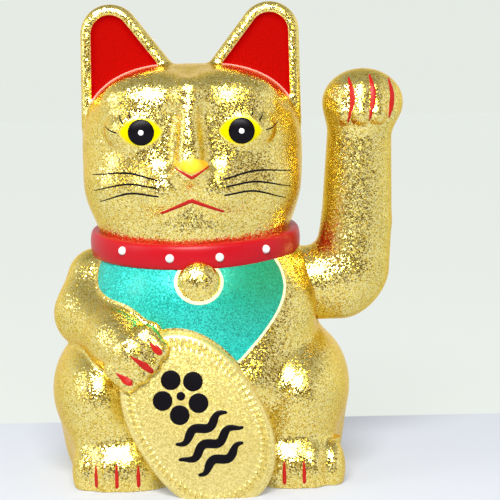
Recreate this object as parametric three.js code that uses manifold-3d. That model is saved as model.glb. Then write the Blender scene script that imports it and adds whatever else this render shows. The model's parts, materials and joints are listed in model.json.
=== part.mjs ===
// Beckoning cat figurine: a hollow seated cat in two moulded halves, with one
// raised arm rocked by a battery-driven pendulum inside.
// Millimetres, +Z up, the cat looks along -Y, origin at the centre of the resting face.
import * as THREE from "three";
import { mergeVertices, toCreasedNormals } from "three/addons/utils/BufferGeometryUtils.js";
import Module from "manifold-3d";

const wasm = await Module();
wasm.setup();

// ---- driving dimensions ------------------------------------------------------------------

const GAP = 0.3; // clearance between neighbouring pieces
const FIT = 0.1; // radial clearance of turned fits
const SCREW_FIT = 0.25; // radial clearance round a screw's shank
const WALL = 2.4; // thickness of the moulded skin
const SKIN_TOLERANCE = 0.05; // how coarsely the moulded skins are drawn
const HIDDEN_TOLERANCE = 0.2; // how coarsely the unseen hollows are drawn
const FINE_TOLERANCE = 0.002; // for the small machined pieces
const ROUND_SIDES = 24; // facets round the small turned pieces
const BORE_SIDES = 16; // facets round a screw or its bore
const BEYOND = 200; // farther than any part of the cat
const MIDDLE_Y = -1.0; // the rings round the body are centred here

const HEAD_X = -1.5; // the head sits a little off the body's centre line
const HEAD_Z = 127.0;
const HEAD_HALF = { x: 43.4, y: 38.5, above: 34.6, below: 46.0 };
const HEAD_TOP = 161.4;
const EAR_CORNERS = [[31.3, 173.6], [31.6, 140.0], [6.5, 141.5]]; // centres of the rounded corners
const EAR_ROUND = 11.6;
const EAR_RIM = 3.9;
const EAR_Y = 1.5;
const EAR_HALF = 6.2;
const EAR_SCOOP = 2.4;

const COLLAR = { x: -1.2, z: 92.0, halfX: 39.4, halfY: 37.8, tilt: 0.075, halfHeight: 4.9, swell: 2.3 };
// Degrees from the front and height above the band's middle, for each stud.
const STUDS = [[-40.4, 1.6], [-12.0, 0], [14.1, 0], [41.6, 1.0]];
const STUD_RADIUS = 1.65;
const CAVITY_BELOW = 2.0; // how far the cavity runs out through the open base
const BELL = { at: [0.9, -40.0, 79.5], radii: [8.2, 5.5, 8.2] };

const TABLET = {
  at: [-0.6, -45.2, 27.6], long: 36.2, short: 24.5, squareness: 2.25, turn: 31.4, lean: 9,
  front: 6.4, back: 15.0, edge: 2.6,
};
const LEFT_FOOT = { x: 30.0, half: 20.0, grooves: [23.8, 32.0, 40.1] };
const RIGHT_FOOT = { x: 35.8, half: 17.2, grooves: [31.8, 39.3, 47.0] };

const ARM_Z = 73.2; // height of the arm's axle
const ARM_RADIUS = 14.7;
const ARM_WALL = 2.2;
const ARM_ROOT_X = 35.2; // flat inner end of the arm
const ARM_TIP = [66.2, -3.0, 157.6];
const POCKET_RADIUS = 15.6; // round opening in the shoulder
const POCKET_X = 34.6;
const POCKET_WALL = 2.8;
const AXLE_HOLE = 2.6; // radius of the hole through the pocket's floor
const PAW = { at: [66.0, -3.0, 145.0], radii: [15.9, 13.6, 13.4] };
const PAW_TOES = [-39, -7, 24, 54]; // directions of the toes from straight ahead

const PLATE = 3.0; // base plate thickness
const PLATE_MARGIN = 0.5; // between the plate's rim and the skin
const BOSS_RADIUS = 5.2;
const BOSS_OVERLAP = 0.8; // how far a boss runs into the skin
const BOSS_TOP = 17.0;
const BOSS_ANGLES = [28, 152, 208, 332];
const SCREW = {
  head: 2.8, headHeight: 1.5, shank: 1.3, top: 13.5, tip: 1.2,
  slotLong: 1.7, slotWide: 0.3, slotDeep: 0.8,
};

const CELL = { x: -18.0, z: 10.2, radius: 7.1, from: -19.6, to: 29.8, nub: 2.7, nubHeight: 1.0 };
const CONTACT = { half: 5.5, thick: 0.6, bottom: 4.6, top: 17.4 };
const SPRING = { turns: 4.5, wide: 5.6, narrow: 3.6, wire: 0.5 };
const WELL = { x0: -27.6, x1: -8.4, y0: -28.0, y1: 34.6, top: 20.0, wall: 1.6 };
const WIRE_RADIUS = 0.55;
const WIRE_HOLE = { radius: 1.1, z: 17.0, ends: [29.0, -24.5] }; // through the side of the well
const DOOR = {
  x0: -25.2, x1: -10.8, y0: -26.4, y1: 30.6, thick: 2.4,
  hingeY: 29.5, hingeZ: 1.6, pin: 1.0, pinOut: 1.2, sideGap: 0.5, swingGap: 1.1,
};
const THUMB = { half: 3.0, long: 3.0, from: 2.0, deep: 0.9 }; // notch in the door's free end
const SWITCH = { x: -3.4, y: 26.0, length: 12.0, width: 7.0, bottom: 3.3, top: 8.4, travel: 2.0 };
const KNOB = { halfX: 1.3, halfY: 1.6, bottom: 0.6, top: 6.4, clearance: 0.4 };

const FRAME = {
  x0: 3.0, x1: 30.4, thick: 2.4, halfY: 19.0, halfUpright: 7.0,
  tabY: 25.6, tabInset: 8.7, tabThick: 2.0, screwY: 22.3, screwHole: 1.5,
  bottom: 3.3, rail: 3.0, top: 79.5, boardGap: 0.8,
};
const FRAME_SCREW = { head: 7.3, tip: 0.6 }; // heights of its head and its point
const BOARD = { x0: 5.9, x1: 27.5, halfY: 14.2, bottom: 3.3, top: 4.9 };
const COIL = { x: 16.7, radius: 9.5, bottom: 5.1, top: 15.6, hub: 3.6, bore: 2.0 };
const CHIP = { x0: 8.0, x1: 13.0, y0: 10.6, y1: 13.4, thick: 1.5, lift: 0.5 };
const CHIP_LEGS = { count: 4, inset: 0.7, half: 0.2, reach: 0.6, low: 0.1, high: 0.9 };
const CAPACITOR = { x: 24.0, y: -11.2, radius: 2.5, height: 7.0 };
const AXLE = { radius: 1.5, from: 1.2, to: 46.0, flatLong: 9.0, flatDeep: 0.5 };
const BUSH = { radius: 3.0, flange: 4.5, flangeThick: 1.0, fit: 0.2 };
const PENDULUM = {
  x: 16.7, hub: 4.0, hubHalf: 4.6, bar: 3.0, barWidth: 8.0, footTop: 36.2, footBottom: 34.2,
};
const WEIGHT = { halfX: 6.0, halfY: 10.0, top: 34.1, bottom: 21.3 };
const MAGNET = { radius: 6.0, top: 21.2, bottom: 18.2 };
const SOCKET = { plug: 4.0, flange: 8.0, boss: 5.0, from: 34.9, seat: 38.1, flangeThick: 1.8, to: 51.0 };

const COLOURS = {
  gold: "#c9a24a",
  black: "#1c1c1e",
  white: "#e8e8e4",
  steel: "#b7bbc0",
  copper: "#b8642c",
  green: "#1f6b3a",
  red: "#b3202a",
  blue: "#2a5fa8",
  brass: "#c8a855",
};

// ---- solids ------------------------------------------------------------------------------

// A closed geometry as a manifold solid, turned outward if it was built inside out.
function solid(geometry) {
  const bare = geometry.clone();
  bare.deleteAttribute("normal");
  bare.deleteAttribute("uv");
  const merged = mergeVertices(bare, 1e-4);
  const triVerts = new Uint32Array(merged.index.array);
  const vertProperties = new Float32Array(merged.attributes.position.array);
  if (signedVolume(vertProperties, triVerts) < 0) {
    for (let i = 0; i < triVerts.length; i += 3) {
      [triVerts[i + 1], triVerts[i + 2]] = [triVerts[i + 2], triVerts[i + 1]];
    }
  }
  return new wasm.Manifold(new wasm.Mesh({ numProp: 3, vertProperties, triVerts }));
}

function signedVolume(points, triangles) {
  let sum = 0;
  const corner = (i) => new THREE.Vector3().fromArray(points, triangles[i] * 3);
  for (let i = 0; i < triangles.length; i += 3) {
    sum += corner(i).dot(corner(i + 1).cross(corner(i + 2)));
  }
  return sum / 6;
}

function geometryOf(manifold, tolerance) {
  const mesh = manifold.simplify(tolerance).getMesh();
  const geometry = new THREE.BufferGeometry();
  geometry.setAttribute("position", new THREE.BufferAttribute(new Float32Array(mesh.vertProperties), 3));
  geometry.setIndex(new THREE.BufferAttribute(new Uint32Array(mesh.triVerts), 1));
  return toCreasedNormals(geometry, THREE.MathUtils.degToRad(35));
}

function box(x0, x1, y0, y1, z0, z1) {
  const geometry = new THREE.BoxGeometry(x1 - x0, y1 - y0, z1 - z0);
  geometry.translate((x0 + x1) / 2, (y0 + y1) / 2, (z0 + z1) / 2);
  return solid(geometry);
}

// A turned solid from [radius, height] pairs, its axis along x, y or z through "at".
function turned(profile, axis, at, sides = ROUND_SIDES) {
  const geometry = new THREE.LatheGeometry(profile.map(([r, h]) => new THREE.Vector2(r, h)), sides);
  if (axis === "z") {
    geometry.rotateX(Math.PI / 2);
  }
  if (axis === "x") {
    geometry.rotateZ(-Math.PI / 2);
  }
  geometry.translate(...at);
  return solid(geometry);
}

function rod(radius, from, to, axis, at, sides = ROUND_SIDES) {
  return turned([[0, from], [radius, from], [radius, to], [0, to]], axis, at, sides);
}

function union(pieces) {
  return pieces.reduce((all, piece) => all.add(piece));
}

function cut(piece, tools) {
  return tools.reduce((left, tool) => left.subtract(tool), piece);
}

function ring(count, pointAt) {
  return Array.from({ length: count }, (_, i) => pointAt(i));
}

// A closed skin through rings of points, with flat caps or poles at both ends.
function skin(rings, startPole, endPole) {
  const count = rings[0].length;
  const points = [startPole, ...rings.flat(), endPole];
  const last = points.length - 1;
  const faces = [];
  for (let i = 0; i < count; i += 1) {
    const next = (i + 1) % count;
    faces.push(0, 1 + next, 1 + i);
    for (let r = 0; r + 1 < rings.length; r += 1) {
      const low = 1 + r * count;
      const high = low + count;
      faces.push(low + i, low + next, high + next, low + i, high + next, high + i);
    }
    faces.push(last - count + i, last - count + next, last);
  }
  const geometry = new THREE.BufferGeometry().setFromPoints(points);
  geometry.setIndex(faces);
  return solid(geometry);
}

// ---- the sculpted form, as a field that is negative inside -------------------------------

function blend(a, b, radius) {
  const h = THREE.MathUtils.clamp(0.5 + (0.5 * (b - a)) / radius, 0, 1);
  return b + (a - b) * h - radius * h * (1 - h);
}

function carve(a, b, radius) {
  return -blend(-a, b, radius);
}

function ellipsoid(p, at, radii) {
  const x = p.x - at[0];
  const y = p.y - at[1];
  const z = p.z - at[2];
  const near = Math.hypot(x / radii[0], y / radii[1], z / radii[2]);
  const slope = Math.hypot(x / radii[0] ** 2, y / radii[1] ** 2, z / radii[2] ** 2) + 1e-9;
  return (near * (near - 1)) / slope;
}

function roundCone(p, from, to, fromRadius, toRadius) {
  const start = new THREE.Vector3(...from);
  const along = new THREE.Vector3(...to).sub(start);
  const offset = new THREE.Vector3(p.x, p.y, p.z).sub(start);
  const t = THREE.MathUtils.clamp(offset.dot(along) / along.lengthSq(), 0, 1);
  const distance = offset.addScaledVector(along, -t).length();
  return distance - (fromRadius + (toRadius - fromRadius) * t);
}

// A superellipsoid; "front" squares its front view and "side" its depth.
function superEgg(p, at, radii, side, front) {
  const x = Math.abs(p.x - at[0]) / radii[0];
  const y = Math.abs(p.y - at[1]) / radii[1];
  const z = Math.abs(p.z - at[2]) / radii[2];
  const flat = (x ** front + z ** front) ** (1 / front);
  return ((flat ** side + y ** side) ** (1 / side) - 1) * Math.min(...radii);
}

function head(p) {
  const half = HEAD_HALF;
  const height = p.z > HEAD_Z ? half.above : half.below;
  let d = superEgg(p, [HEAD_X, 0, HEAD_Z], [half.x, half.y, height], 2.25, 2.6);
  const q = { x: Math.abs(p.x - HEAD_X), y: p.y, z: p.z };
  d = carve(d, ellipsoid(q, [19.5, -43.8, 136.5], [13.0, 6.5, 10.0]), 6.0); // eye hollow
  d = carve(d, ellipsoid(q, [9.5, -45.0, 132.0], [2.5, 6.0, 13.0]), 5.0); // beside the nose
  d = blend(d, roundCone(q, [0, -33.0, 151.0], [0, -37.0, 126.0], 5.2, 6.0), 7.0); // bridge
  d = blend(d, ellipsoid(q, [15.0, -24.6, 148.5], [16.5, 8.5, 9.0]), 10.0); // brow
  d = blend(d, ellipsoid(q, [19.4, -29.5, 137.0], [12.8, 7.4, 8.6]), 2.0); // eye
  d = blend(d, ellipsoid(q, [9.5, -29.5, 114.5], [12.5, 11.5, 10.0]), 6.0); // muzzle
  d = blend(d, ellipsoid(q, [0, -37.5, 121.8], [7.0, 6.3, 5.4]), 3.5); // nose
  d = blend(d, ellipsoid(q, [0, -26.8, 103.0], [12.0, 9.0, 7.0]), 6.0); // chin
  d = blend(d, ellipsoid(q, [26.0, -16.0, 115.0], [13.0, 16.0, 13.0]), 8.0); // cheek
  return blend(d, ellipsoid(q, [0, 0, 97.0], [33.0, 36.5, 15.0]), 8.0); // throat
}

function torso(p) {
  const trunk = superEgg(p, [0, 1.0, 48.0], [47.0, 42.0, 62.0], 2.3, 2.4);
  const seat = superEgg(p, [0, 5.0, 8.0], [50.0, 36.5, 17.0], 2.6, 3.2);
  const chest = ellipsoid(p, [0, -10.0, 70.0], [37.0, 33.5, 26.0]);
  const belly = ellipsoid(p, [0, -12.0, 44.0], [32.0, 32.0, 30.0]);
  const shoulder = ellipsoid(p, [36.0, -1.0, 72.0], [12.0, 17.5, 17.0]);
  return blend(blend(blend(blend(trunk, seat, 8), chest, 8), belly, 8), shoulder, 4);
}

function haunch(p, side) {
  const q = { x: p.x * side, y: p.y, z: p.z };
  const thigh = ellipsoid(q, [38.6, -5.0, 34.0], [20.4, 38.5, 24.5]);
  const rump = ellipsoid(q, [33.5, 9.0, 16.0], [23.5, 31.0, 30.0]);
  const shin = ellipsoid(q, [31.0, -19.0, 24.0], [20.0, 20.5, 15.0]);
  return blend(blend(thigh, rump, 8), shin, 6);
}

function foot(p, side, { x: middle, half, grooves }) {
  const q = { x: p.x * side, y: p.y, z: p.z };
  const pitch = grooves[1] - grooves[0];
  let d = superEgg(q, [middle, -22.0, 6.0], [half, 22.0, 15.6], 2.5, 2.7);
  for (let toe = 0; toe < 4; toe += 1) {
    const back = 2.2 * Math.abs(toe - 1.5) ** 1.3;
    const x = grooves[0] + pitch * (toe - 0.5);
    d = blend(d, ellipsoid(q, [x, back - 35.6, 6.0], [pitch * 0.68, 9.3, 10.6]), 2.0);
  }
  return d;
}

function restingArm(p) {
  let d = roundCone(p, [-40.0, -3.0, 77.0], [-43.0, -9.0, 64.5], 12.5, 13.4);
  d = blend(d, roundCone(p, [-43.0, -10.0, 64.0], [-30.0, -34.0, 57.0], 13.2, 11.5), 5.0);
  d = blend(d, roundCone(p, [-30.0, -34.0, 57.0], [-24.5, -43.0, 53.5], 11.5, 10.3), 4.0);
  const reach = new THREE.Vector3(0.66, -0.33, -0.67);
  const across = new THREE.Vector3(0.7, 0.05, 0.71);
  for (let toe = 0; toe < 4; toe += 1) {
    const root = new THREE.Vector3(-23.0, -46.3, 52.3).addScaledVector(across, (toe - 1.5) * 5.7);
    const length = toe === 1 || toe === 2 ? 5.6 : 4.4;
    const start = root.clone().addScaledVector(reach, -3.0);
    const tip = root.clone().addScaledVector(reach, length);
    d = blend(d, roundCone(p, start.toArray(), tip.toArray(), 4.7, 3.8), 1.8);
  }
  return d;
}

function standingLeg(p) {
  return roundCone(p, [32.0, -18.0, 66.0], [21.0, -31.0, 40.0], 13.0, 12.0);
}

function bodyForm(p) {
  let d = torso(p);
  d = blend(d, haunch(p, -1), 4);
  d = blend(d, haunch(p, 1), 4);
  d = blend(d, standingLeg(p), 6);
  d = blend(d, foot(p, -1, LEFT_FOOT), 5);
  d = blend(d, foot(p, 1, RIGHT_FOOT), 5);
  d = blend(d, restingArm(p), 2);
  return blend(d, head(p), 3);
}

function raisedArmForm(p) {
  let d = roundCone(p, [30.0, 0, ARM_Z], [56.0, 0, ARM_Z + 0.3], ARM_RADIUS, ARM_RADIUS + 0.2);
  d = blend(d, roundCone(p, [60.8, 0, 79.5], [63.2, 0, 98.0], 15.2, 14.0), 5);
  d = blend(d, roundCone(p, [63.2, 0, 98.0], [64.8, -1.0, 136.0], 14.0, 12.6), 0.8);
  d = blend(d, ellipsoid(p, PAW.at, PAW.radii), 4);
  for (const angle of PAW_TOES) {
    const turn = THREE.MathUtils.degToRad(angle);
    const x = PAW.at[0] + 11.4 * Math.sin(turn);
    const y = PAW.at[1] - 11.2 * Math.cos(turn);
    const inward = 0.05 * (x - PAW.at[0]);
    const top = [x - 2 * inward, y + 2.6, 151.0 - 3.0 * Math.abs(inward)];
    d = blend(d, roundCone(p, top, [x, y, 141.2], 4.2, 4.5), 1.2);
  }
  return d;
}

// ---- wrapping a form with rings of rays --------------------------------------------------

// Distance from a point along a ray to the outermost place that is inside the form.
function reach(form, from, ray, farthest) {
  const at = (t) => new THREE.Vector3().copy(from).addScaledVector(ray, t);
  let outside = farthest;
  let inside = 0;
  for (let t = farthest; t > 0; t -= 0.8) {
    if (form(at(t)) < 0) {
      inside = t;
      break;
    }
    outside = t;
  }
  for (let i = 0; i < 14; i += 1) {
    const middle = (inside + outside) / 2;
    if (form(at(middle)) < 0) {
      inside = middle;
    } else {
      outside = middle;
    }
  }
  return inside;
}

// Each station is a ring of rays: a centre and two directions that span its plane.
function measure(form, stations, columns, farthest) {
  return stations.map(({ centre, first, second }) => columns.map((angle) => {
    const ray = first.clone().multiplyScalar(Math.cos(angle)).addScaledVector(second, Math.sin(angle));
    return { centre, ray, radius: reach(form, centre, ray, farthest) };
  }));
}

function ringsOf(measured, inset = 0) {
  return measured.map((row) => row.map(({ centre, ray, radius }) => (
    new THREE.Vector3().copy(centre).addScaledVector(ray, radius - inset)
  )));
}

// The hollow inside: rays pulled in to the least radius of their row and its neighbours.
function hollow(measured, rows, wall) {
  return rows.map((row) => measured[row].map(({ centre, ray }, column) => {
    const near = measured.slice(Math.max(row - 1, 0), row + 2);
    const least = Math.min(...near.map((line) => line[column].radius));
    return new THREE.Vector3().copy(centre).addScaledVector(ray, least - wall);
  }));
}

// Ray angles round the body, closer together across the front than across the back.
function bodyColumns() {
  const count = 40;
  return ring(count, (i) => {
    const even = (i / count) * 2 * Math.PI;
    return even - 0.22 * Math.cos(even);
  });
}

function levels(from, to, count) {
  return ring(count, (i) => from + ((to - from) * i) / (count - 1));
}

function bodyStations() {
  const crown = levels(0, 1, 6).map((t) => HEAD_TOP - 0.6 - 12.0 * (1 - Math.sin((t * Math.PI) / 2)));
  const heights = [0.0, 3.2, ...levels(7.5, 92.0, 20), ...levels(96.5, 146, 13), ...crown];
  return heights.map((z) => ({
    centre: new THREE.Vector3(z > 96 ? HEAD_X : 0, MIDDLE_Y, z),
    first: new THREE.Vector3(1, 0, 0),
    second: new THREE.Vector3(0, 1, 0),
  }));
}

const bodyRays = measure(bodyForm, bodyStations(), bodyColumns(), 72);

// Rings that follow the bent arm: across the stub, fanned round the crook, then up to the paw.
function armStations() {
  const sideways = new THREE.Vector3(0, 1, 0);
  const stub = [ARM_ROOT_X, 39.0, 43.0].map((x) => ({
    centre: new THREE.Vector3(x, 0, ARM_Z),
    first: new THREE.Vector3(0, 0, -1),
    second: sideways,
  }));
  const pivot = new THREE.Vector3(44.5, 0, 91.5);
  const fan = levels(6, 88, 9).map((degrees) => {
    const turn = THREE.MathUtils.degToRad(degrees);
    const first = new THREE.Vector3(Math.sin(turn), 0, -Math.cos(turn));
    return { centre: pivot.clone().addScaledVector(first, 18.6), first, second: sideways };
  });
  const forearm = [96, 104, 113, 122, 130, 135, 138, 141, 144, 147, 150, 152.6, 154.8, 156.4].map((z) => ({
    centre: new THREE.Vector3(63.2 + (z - 96) * 0.05, z > 132 ? -3.0 : 0, z),
    first: new THREE.Vector3(1, 0, 0),
    second: sideways,
  }));
  return [...stub, ...fan, ...forearm];
}

function armColumns() {
  const count = 32;
  return ring(count, (i) => (i / count) * 2 * Math.PI);
}

const armRays = measure(raisedArmForm, armStations(), armColumns(), 27);

// ---- the moulded body --------------------------------------------------------------------

// A triangle with rounded corners, as the outline of an ear.
function roundedTriangle(corners, radius) {
  const points = corners.flatMap((corner, i) => {
    const before = corners[(i + 2) % 3];
    const after = corners[(i + 1) % 3];
    const start = Math.atan2(corner[1] - before[1], corner[0] - before[0]) + Math.PI / 2;
    const end = Math.atan2(after[1] - corner[1], after[0] - corner[0]) + Math.PI / 2;
    const sweep = ((end - start - 4 * Math.PI) % (2 * Math.PI));
    return levels(0, 1, 8).map((t) => {
      const angle = start + sweep * t;
      return new THREE.Vector2(corner[0] + radius * Math.cos(angle), corner[1] + radius * Math.sin(angle));
    });
  });
  return new THREE.Shape(points.reverse());
}

// A flat piece drawn in the front view and given a depth from y0 to y1, with softened edges.
function frontPiece(shape, y0, y1, soften) {
  const options = {
    depth: y1 - y0 - 2 * soften,
    bevelEnabled: soften > 0,
    bevelThickness: soften,
    bevelSize: soften,
    bevelOffset: -soften,
    bevelSegments: 2,
    curveSegments: 1,
  };
  const geometry = new THREE.ExtrudeGeometry(shape, options);
  geometry.rotateX(Math.PI / 2);
  geometry.translate(0, y1 - soften, 0);
  return geometry;
}

function earSolid(side) {
  const outline = roundedTriangle(EAR_CORNERS, EAR_ROUND);
  const inner = roundedTriangle(EAR_CORNERS, EAR_ROUND - EAR_RIM);
  const slab = frontPiece(outline, EAR_Y - EAR_HALF, EAR_Y + EAR_HALF, 2.0);
  const scoop = frontPiece(inner, EAR_Y - EAR_HALF - 2, EAR_Y - EAR_HALF + EAR_SCOOP, 0);
  for (const geometry of [slab, scoop]) {
    geometry.scale(side, 1, 1);
    geometry.translate(HEAD_X, 0, 0);
  }
  return solid(slab).subtract(solid(scoop));
}

// The oval tablet held under the resting paw: turned, leaning back and cut off by the ground.
function tabletSolid() {
  const { at, long, short, squareness, turn, lean, front, back, edge } = TABLET;
  const bend = (t) => Math.sign(t) * Math.abs(t) ** (2 / squareness);
  const oval = new THREE.Shape(ring(36, (i) => {
    const angle = (i / 36) * 2 * Math.PI;
    return new THREE.Vector2(short * bend(Math.cos(angle)), long * bend(Math.sin(angle)));
  }));
  const geometry = frontPiece(oval, -front, back, edge);
  geometry.rotateY(THREE.MathUtils.degToRad(-turn));
  geometry.rotateX(THREE.MathUtils.degToRad(-lean));
  geometry.translate(...at);
  return solid(geometry).intersect(box(-BEYOND, BEYOND, -BEYOND, BEYOND, 0, BEYOND));
}

function ball(at, radii, columns, rows) {
  const geometry = new THREE.SphereGeometry(1, columns, rows);
  geometry.rotateX(Math.PI / 2);
  geometry.scale(...radii);
  geometry.translate(...at);
  return solid(geometry);
}

// The collar band, oval in plan and lower at the front, with its four raised studs.
function collarSolid() {
  const { x, z, halfX, halfY, tilt, halfHeight, swell } = COLLAR;
  const band = new THREE.LatheGeometry([
    [0, -1], [0.99, -1], [1.03, -0.85], [1.055, -0.4],
    [1.055, 0.4], [1.03, 0.85], [0.99, 1], [0, 1],
  ].map(([r, h]) => new THREE.Vector2(r, h * halfHeight)), 48);
  band.rotateX(Math.PI / 2);
  band.scale(halfX, halfY, 1);
  band.applyMatrix4(new THREE.Matrix4().makeShear(0, 0, 0, tilt, 0, 0));
  band.translate(x, 0, z);
  const studs = STUDS.map(([angle, height]) => {
    const turn = THREE.MathUtils.degToRad(angle);
    const y = -(halfY + swell) * Math.cos(turn);
    const at = [x + (halfX + swell) * Math.sin(turn), y, z + tilt * y + height];
    return ball(at, [STUD_RADIUS, STUD_RADIUS, STUD_RADIUS], 10, 6);
  });
  return union([solid(band), ...studs]);
}

function bodyOuter() {
  const rows = ringsOf(bodyRays);
  const underneath = new THREE.Vector3(0, MIDDLE_Y, 0);
  const crown = new THREE.Vector3(HEAD_X, MIDDLE_Y, HEAD_TOP);
  const form = skin(rows, underneath, crown);
  const bell = ball(BELL.at, BELL.radii, 18, 10);
  return union([form, earSolid(-1), earSolid(1), tabletSolid(), collarSolid(), bell]);
}

function cavityRows() {
  const rows = ring(20, (i) => 2 * i);
  const points = hollow(bodyRays, rows, WALL);
  const below = points[0].map((p) => new THREE.Vector3(p.x, p.y, -CAVITY_BELOW));
  const floor = points[0].map((p) => new THREE.Vector3(p.x, p.y, PLATE + 0.4));
  return [below, floor, ...points.slice(1)];
}

function averageOf(points) {
  return points.reduce((sum, p) => sum.add(p), new THREE.Vector3()).divideScalar(points.length);
}

function cavity() {
  const rows = cavityRows();
  const underneath = new THREE.Vector3(0, MIDDLE_Y, -CAVITY_BELOW);
  const whole = skin(rows, underneath, averageOf(rows[rows.length - 1])).simplify(HIDDEN_TOLERANCE);
  const wallFrom = POCKET_X - POCKET_WALL;
  const shoulderWall = rod(POCKET_RADIUS + WALL, wallFrom, BEYOND, "x", [0, 0, ARM_Z], 36);
  return whole.subtract(shoulderWall);
}

// The point of the cavity's floor outline that lies nearest to a direction.
function outlineAt(angle) {
  const turn = THREE.MathUtils.degToRad(angle);
  const wanted = new THREE.Vector3(Math.cos(turn), Math.sin(turn), 0);
  const outline = cavityRows()[1].map((p) => new THREE.Vector3(p.x, p.y - MIDDLE_Y, 0));
  const aligned = (p) => p.clone().normalize().dot(wanted);
  return outline.reduce((best, p) => (aligned(p) > aligned(best) ? p : best));
}

// Centres of the screw bosses, tucked against the inside of the skin.
function bossCentres() {
  return BOSS_ANGLES.map((angle) => {
    const edge = outlineAt(angle);
    const inward = edge.clone().setLength(edge.length() - BOSS_RADIUS + BOSS_OVERLAP);
    return new THREE.Vector3(inward.x, inward.y + MIDDLE_Y, 0);
  });
}

function hollowBody() {
  const pocket = rod(POCKET_RADIUS, POCKET_X, BEYOND, "x", [0, 0, ARM_Z], 48);
  const axleHole = rod(AXLE_HOLE, 0, POCKET_X + 1, "x", [0, 0, ARM_Z]);
  const bosses = bossCentres().map((p) => rod(BOSS_RADIUS, PLATE + GAP, BOSS_TOP, "z", [p.x, p.y, 0]));
  const bores = bossCentres().map((p) => (
    rod(SCREW.shank + SCREW_FIT, 0, SCREW.top + 1, "z", [p.x, p.y, 0], BORE_SIDES)
  ));
  const shell = bodyOuter().subtract(cavity());
  return cut(union([shell, ...bosses]), [pocket, axleHole, ...bores]);
}

// ---- materials ---------------------------------------------------------------------------

function material(colour, roughness, metalness) {
  return new THREE.MeshStandardMaterial({ color: colour, roughness, metalness });
}

function goldSkin() {
  return material(COLOURS.gold, 0.35, 1.0);
}

function blackPlastic() {
  return material(COLOURS.black, 0.55, 0.0);
}

function whitePlastic() {
  return material(COLOURS.white, 0.5, 0.0);
}

function steel() {
  return material(COLOURS.steel, 0.3, 1.0);
}

function copper() {
  return material(COLOURS.copper, 0.35, 0.9);
}

const cat = new THREE.Group();
cat.name = "beckoning_cat";

function addPiece(parent, name, manifold, look, tolerance = FINE_TOLERANCE) {
  const mesh = new THREE.Mesh(geometryOf(manifold, tolerance), look);
  mesh.name = name;
  parent.add(mesh);
}

// ---- moulded halves ----------------------------------------------------------------------

// The part of a moulding in front of the parting plane (side -1) or behind it (side 1).
function halfOf(whole, side) {
  const near = (side * GAP) / 2;
  const far = side * BEYOND;
  const space = box(-BEYOND, BEYOND, Math.min(near, far), Math.max(near, far), -BEYOND, BEYOND);
  return whole.intersect(space);
}

function addBodyShells(parent) {
  const whole = hollowBody();
  addPiece(parent, "front_shell", halfOf(whole, -1), goldSkin(), SKIN_TOLERANCE);
  addPiece(parent, "rear_shell", halfOf(whole, 1), goldSkin(), SKIN_TOLERANCE);
}

// ---- raised arm --------------------------------------------------------------------------

function armSocketHole() {
  return rod(SOCKET.plug + GAP, ARM_ROOT_X - 5, SOCKET.seat, "x", [0, 0, ARM_Z]);
}

function hollowArm() {
  const rows = ringsOf(armRays);
  const root = new THREE.Vector3(ARM_ROOT_X, 0, ARM_Z);
  const tip = new THREE.Vector3(...ARM_TIP);
  const inner = hollow(armRays, ring(11, (i) => 2 * i + 1), ARM_WALL);
  const start = inner[0].map((p) => new THREE.Vector3(ARM_ROOT_X + WALL, p.y, p.z));
  const bottom = new THREE.Vector3(ARM_ROOT_X + WALL, 0, ARM_Z);
  const top = averageOf(inner[inner.length - 1]);
  const space = skin([start, ...inner.slice(1)], bottom, top).simplify(HIDDEN_TOLERANCE);
  return cut(skin(rows, root, tip), [space, armSocketHole()]);
}

function addArmShells(parent) {
  const whole = hollowArm();
  addPiece(parent, "arm_front_shell", halfOf(whole, -1), goldSkin(), SKIN_TOLERANCE);
  addPiece(parent, "arm_rear_shell", halfOf(whole, 1), goldSkin(), SKIN_TOLERANCE);
}

function addArmSocket(parent) {
  const { plug, flange, boss, from, seat, flangeThick, to } = SOCKET;
  const outer = turned([
    [0, from], [plug, from], [plug, seat], [flange, seat],
    [flange, seat + flangeThick], [boss, seat + flangeThick], [boss, to], [0, to],
  ], "x", [0, 0, ARM_Z]);
  const bore = rod(AXLE.radius + FIT, from - 1, AXLE.to + GAP, "x", [0, 0, ARM_Z]);
  addPiece(parent, "arm_socket", outer.subtract(bore), whitePlastic());
}

function addAxle(parent) {
  const { radius, from, to, flatLong, flatDeep } = AXLE;
  const shaft = rod(radius, from, to, "x", [0, 0, ARM_Z]);
  const flatZ = ARM_Z + radius - flatDeep;
  const flat = box(to - flatLong, to + 1, -2 * radius, 2 * radius, flatZ, ARM_Z + 2 * radius);
  addPiece(parent, "axle", shaft.subtract(flat), steel());
}

// ---- pendulum ----------------------------------------------------------------------------

function addPendulum(parent) {
  const { x, hub, hubHalf, bar, barWidth, footTop, footBottom } = PENDULUM;
  const { halfX, halfY, bottom, top } = WEIGHT;
  const boss = rod(hub, -hubHalf, hubHalf, "x", [x, 0, ARM_Z]);
  const stem = box(x - bar / 2, x + bar / 2, -barWidth / 2, barWidth / 2, footTop - 0.5, ARM_Z);
  const pad = box(x - halfX, x + halfX, -halfY, halfY, footBottom, footTop);
  const bore = rod(AXLE.radius + FIT, -hubHalf - 1, hubHalf + 1, "x", [x, 0, ARM_Z]);
  const lever = union([boss, stem, pad]).subtract(bore);
  addPiece(parent, "pendulum_lever", lever, whitePlastic());

  const block = box(x - halfX, x + halfX, -halfY, halfY, bottom, top);
  addPiece(parent, "pendulum_weight", block, steel());

  const disc = rod(MAGNET.radius, MAGNET.bottom, MAGNET.top, "z", [x, 0, 0], 32);
  addPiece(parent, "pendulum_magnet", disc, steel());
}

// ---- mechanism frame and bearings --------------------------------------------------------

function frameScrewCentres() {
  const x = (FRAME.x0 + FRAME.x1) / 2;
  return [-1, 1].map((side) => new THREE.Vector3(x, side * FRAME.screwY, 0));
}

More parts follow.
